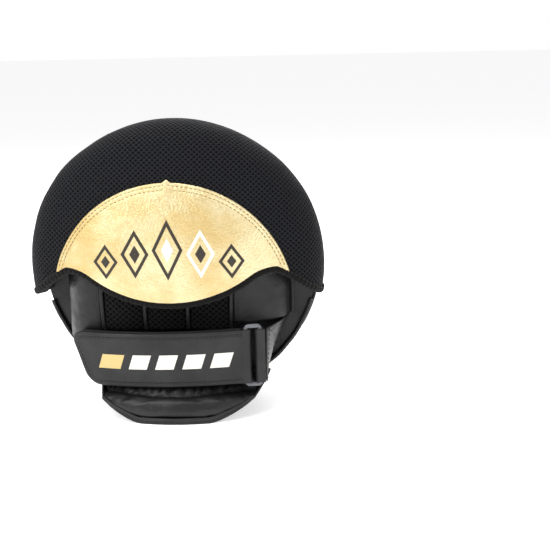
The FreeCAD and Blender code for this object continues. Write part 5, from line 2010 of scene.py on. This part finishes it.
# stitch lines on the tab, from its seam (0) to the ring (1) and from its low edge (0) to its high one (1)
TAB_STITCHES = (((0.93, 0.05), (0.93, 0.95)), ((0.9, 0.93), (0.25, 0.5)), ((0.25, 0.5), (0.9, 0.07)),
                ((0.9, 0.93), (0.06, 0.96)), ((0.06, 0.04), (0.06, 0.96)))


# ------------------------------------------------------------------ wrist cuff


@dataclass
class WristCuff:
    """The padded cuff under the wrist: a leather sole, a gathered cushion and what ties it to the pad."""

    shop: Workshop
    thread: Seamstress
    radius: float = 96.0
    sink: float = 4.2
    front_round: float = 130.0
    pleats: float = 7.6  # distance from one gather to the next
    wider: float = 0.05  # how much wider it is under the ring than under the thumb
    sole_top: float = 24.0
    sole_thick: float = 3.8
    sole_fall: float = 8.0  # how much lower its sides end in front than at the back
    shrink: float = 0.8  # how much smaller the cushion is cut than it swells to

    def outline_half(self, z: Grid, inset: float = 0.0) -> Grid:
        """Half width of the cuff at a height over the ground."""
        centre = self.radius - self.sink
        return np.sqrt(np.maximum((self.radius - inset) ** 2 - (centre - z) ** 2, 1.0))

    def front_at(self, x: Grid, reach: float) -> Grid:
        """Depth of the cuff's rounded front at x."""
        return reach + self.front_round - np.sqrt(np.maximum(self.front_round ** 2 - x ** 2, 1.0))

    def block(self, low: float, high: float, back: float, front: float, inset: float,
              rings_in: int = 10) -> Shape:
        """A closed solid of the cuff's outline between two heights, with softly rounded edges."""
        ground = -self.shop.layout.centre_z
        v = full_turn(96)
        rings = []
        layers = 14
        for k in range(layers + 1):
            share = k / layers
            z = low + (high - low) * share
            tuck = 2.2 * (1 - math.sqrt(max(1 - (2 * share - 1) ** 6, 0.0)))
            half = float(self.outline_half(np.array(z), inset)) - tuck
            across = np.sign(np.cos(v)) * np.abs(np.cos(v)) ** 0.24 * half
            across = self.lopsided(across, np.sign(across))
            reach = self.front_at(across, front + tuck)
            y_mid = (back - tuck + reach) / 2
            y_half = (back - tuck - reach) / 2
            y = y_mid + np.sign(np.sin(v)) * np.abs(np.sin(v)) ** 0.24 * y_half
            rings.append(stack(across, y, ground + z))
        grid = np.array(rings)
        middle = grid.mean(axis=1, keepdims=True)
        top = middle[-1:] + (grid[-1:] - middle[-1:]) * np.linspace(1, 0, rings_in)[1:, None, None]
        foot = middle[:1] + (grid[:1] - middle[:1]) * np.linspace(0, 1, rings_in)[:-1, None, None]
        whole = np.concatenate([foot, grid, top])
        rows, columns = whole.shape[:2]
        faces = [(i * columns + j, i * columns + (j + 1) % columns, (i + 1) * columns + (j + 1) % columns,
                  (i + 1) * columns + j) for i in range(rows - 1) for j in range(columns)]
        uv = stack(whole[..., 0], whole[..., 1] + whole[..., 2]).reshape(-1, 2) * MM
        return Shape(whole.reshape(-1, 3), faces, uv).outward()

    def build_cushion(self) -> None:
        """The stuffed cushion, gathered into pleats along its top."""
        low, high = self.shop.layout.box("cuff_cushion")
        ground = -self.shop.layout.centre_z
        foot, top = low[2] - ground, high[2] - ground
        piece = self.shop.make("cuff_cushion_leather",
                               self.block(foot - 0.6, top + 1.0 - self.shrink, high[1], low[1] + self.shrink,
                                          1.2 + self.shrink))
        plump(piece, voxel_mm=3.5, limit_mm=3.5)
        self.gather(piece, low, high)
        self.shop.declare(piece, CUFF_HIDE, Body.CUFF, "black_leather", ("cuff_cushion", "cuff_foam"),
                          fill=0.7)
        dress_node("cuff_flange", BLACK_HIDE)

    def gather(self, piece: Piece, low: Grid, high: Grid) -> None:
        """Draws the top of the cushion into pleats behind a crease that follows its front.

        Args:
            piece: the cushion.
            low: lowest corner of the space that it fills.
            high: highest corner.
        """
        layout = self.shop.layout
        points = np.array([v.co for v in piece.data.vertices]) / MM
        points = points - np.array([0, layout.back_y, layout.centre_z])
        top = high[2] + 1.0
        crease_y = self.front_at(points[:, 0], low[1]) + 12.0 + 5.0 * (points[:, 0] / 64.0) ** 2
        behind = points[:, 1] - crease_y
        upper = smooth_step(top - 8, top - 3, points[:, 2])
        groove = -2.6 * np.exp(-((behind / 1.7) ** 2)) * upper
        body = smooth_step(7, 19, points[:, 2] + layout.centre_z)
        ramp = body * (2.2 * smooth_step(4, 18, behind) - 3.6 * (1 - smooth_step(-1, 10, behind)))
        phase = points[:, 0] / self.pleats + 0.9 * np.array([noise.noise(Vector(p / 13)) for p in points])
        folds = np.abs(np.sin(math.pi * phase)) - 0.6
        depth = smooth_step(0.5, 4.0, behind) * np.exp(-np.maximum(behind - 4, 0) / 13)
        points[:, 2] += groove + 3.2 * folds * depth * upper + ramp
        soft = 0.5 * np.array([noise.noise(Vector(p / 15)) for p in points])
        points[:, 1] += soft * smooth_step(0, 6, -behind)
        piece.data.vertices.foreach_set("co", layout.to_frame(points).astype(np.float32).ravel())
        piece.data.update()

    def hull(self, top: float, count: int = 200) -> Grid:
        """The cuff's lower outline from the front: down one side, across the ground and up the other."""
        z = np.linspace(top, 0, 60)
        left = stack(-self.lopsided(self.outline_half(z), -1.0), z)
        right = stack(self.lopsided(self.outline_half(z[::-1]), 1.0), z[::-1])
        line = spread_evenly(np.concatenate([left, right]), count)
        soft = running_mean(line, 25)
        soft[:, 1] = np.maximum(soft[:, 1] - 0.4, 0.0)
        return np.concatenate([line[:1], soft, line[-1:]])

    def lopsided(self, half: Grid, side: Grid | float) -> Grid:
        """Half width on one side: the cuff reaches a little further out under the ring."""
        return half * (1 + self.wider * side)

    def build_sole(self) -> None:
        """The leather sole that wraps up round the cushion, its piping and its stitching."""
        low, high = self.shop.layout.box("cuff_shell")
        ground = -self.shop.layout.centre_z
        share = np.linspace(0, 1, 26)
        rows = np.array([self.hull(self.sole_top - self.sole_fall * s ** 1.5) for s in share])
        reach = self.front_at(rows[..., 0], low[1] + 3.6)
        y = high[1] + (reach - high[1]) * share[:, None]
        grid = stack(rows[..., 0], y, rows[..., 1] + ground)
        deep = self.sole_thick * (1 - 0.62 * smooth_step(3, 14, rows[..., 1]))
        normal = grid_normals(grid)
        normal = normal * np.sign(-normal[..., 2:3].sum())
        inner = grid - normal * deep[..., None]
        self.shop.put("cuff_sole_leather", slab(grid, inner), BLACK_HIDE, "cuff_shell", body=Body.CUFF)
        edge = inner[-1] + np.array([0, 0.5, 0])
        piping = tube(edge, 1.3 + 0.12 * rough(edge, 5, 3.0), sides=10, up=-normal[-1])
        self.shop.put("cuff_piping", piping, STRAP_HIDE, body=Body.CUFF)
        seam = grid[-1] - normal[-1] * (deep[-1] * 0.45)[:, None] - np.array([0, 0.15, 0])
        self.thread.sew(CUFF_THREAD, seam)

    def build(self) -> None:
        """Builds every piece of the cuff."""
        self.build_cushion()
        self.build_sole()


# ------------------------------------------------------------------ studio


@dataclass
class Studio:
    """A pale paper floor, soft lights, and the camera behind and a little over the mitt."""

    azimuth: float = 3.95
    elevation: float = 13.34
    distance: float = 0.744
    aim: tuple[float, float, float] = (0.0769, 0.0, 0.1041)
    roll: float = -1.26
    view_angle: float = 32.14
    room_light: float = 0.45
    floor_half: float = 40.0

    def build_floor(self) -> None:
        """A wide flat floor of glowing paper."""
        data = bpy.data.meshes.new("paper_floor")
        half = self.floor_half
        data.from_pydata([(-half, -half, 0), (half, -half, 0), (half, half, 0), (-half, half, 0)], [],
                         [(0, 1, 2, 3)])
        floor = bpy.data.objects.new("paper_floor", data)
        bpy.context.scene.collection.objects.link(floor)
        data.materials.append(PALE_PAPER.material())

    def add_light(self, name: str, place: tuple[float, float, float], size: float, power: float) -> None:
        """A square soft light aimed at the mitt.

        Args:
            name: its name.
            place: where it stands, in metres.
            size: its side, in metres.
            power: its power, in watts.
        """
        data = bpy.data.lights.new(name, "AREA")
        data.shape, data.size, data.energy = "SQUARE", size, power
        light = bpy.data.objects.new(name, data)
        light.location = place
        light.rotation_euler = (Vector(self.aim) - Vector(place)).to_track_quat("-Z", "Y").to_euler()
        bpy.context.scene.collection.objects.link(light)

    def build_camera(self) -> None:
        """The camera, aimed and rolled."""
        data = bpy.data.cameras.new("view")
        data.sensor_width = 36.0
        data.lens = 18.0 / math.tan(math.radians(self.view_angle) / 2)
        turn, rise = math.radians(self.azimuth), math.radians(self.elevation)
        back = Vector((math.sin(turn) * math.cos(rise), -math.cos(turn) * math.cos(rise), math.sin(rise)))
        camera = bpy.data.objects.new("view", data)
        camera.location = Vector(self.aim) + back * self.distance
        facing = (-back).to_track_quat("-Z", "Y").to_matrix().to_4x4()
        lean = Matrix.Rotation(math.radians(self.roll), 4, "Z")
        camera.rotation_euler = (facing @ lean).to_euler()
        bpy.context.scene.collection.objects.link(camera)
        bpy.context.scene.camera = camera

    def build_world(self) -> None:
        """White where the camera sees it, dimmer where it only lights the mitt, as in a dark room."""
        world = bpy.data.worlds.new("pale_surround")
        world.use_nodes = True
        tree = world.node_tree
        seen = add(tree, "ShaderNodeLightPath").outputs["Is Camera Ray"]
        strength = reshape(tree, seen, 0.0, 1.0, self.room_light, 1.0)
        tree.links.new(strength, tree.nodes["Background"].inputs["Strength"])
        tree.nodes["Background"].inputs["Color"].default_value = linear("#ffffff")
        bpy.context.scene.world = world

    def build(self) -> None:
        """Sets the floor, the lights and the camera."""
        self.build_floor()
        self.build_camera()
        self.add_light("overhead", (-0.2, -0.1, 1.25), 1.1, 13.0)
        self.add_light("key", (-0.7, -0.75, 0.75), 0.6, 6.5)
        self.add_light("fill", (0.85, -0.7, 0.5), 0.8, 3.0)
        self.add_light("far_side", (0.0, 1.0, 0.9), 1.0, 8.0)
        self.build_world()
        bpy.context.scene.view_settings.view_transform = "Standard"


# threads and where they ride
FACE_THREAD = StitchKind("face_seam_thread", BROWN_THREAD, Body.PAD, "gold_leather", pitch=3.4)
SEAM_THREAD = StitchKind("pad_seam_thread", BLACK_THREAD, Body.PAD, "black_leather")
BADGE_THREAD = StitchKind("badge_thread", BROWN_THREAD, Body.PAD, "gold_leather", pitch=3.3, length=2.5,
                          thick=0.5)
STRAP_THREAD = StitchKind("flap_thread", BLACK_THREAD, Body.FLAP, "black_leather", pitch=3.3, length=2.6,
                          thick=0.62)
CUFF_THREAD = StitchKind("cuff_thread", BLACK_THREAD, Body.CUFF, "black_leather", pitch=4.0, length=3.0)


def main() -> None:
    """Builds the studio and the mitt."""
    logging.basicConfig(level=logging.INFO, format="%(name)s %(message)s")
    layout = Layout.read()
    shop = Workshop(layout)
    thread = Seamstress(shop)
    for group in (Studio(), StrikingPad(shop, thread), Hood(shop, thread), HandPocket(shop, thread),
                  WristStrap(shop, thread), WristCuff(shop, thread)):
        LOG.info("building %s", type(group).__name__)
        group.build()
    thread.finish()


if __name__ == "__main__":
    main()
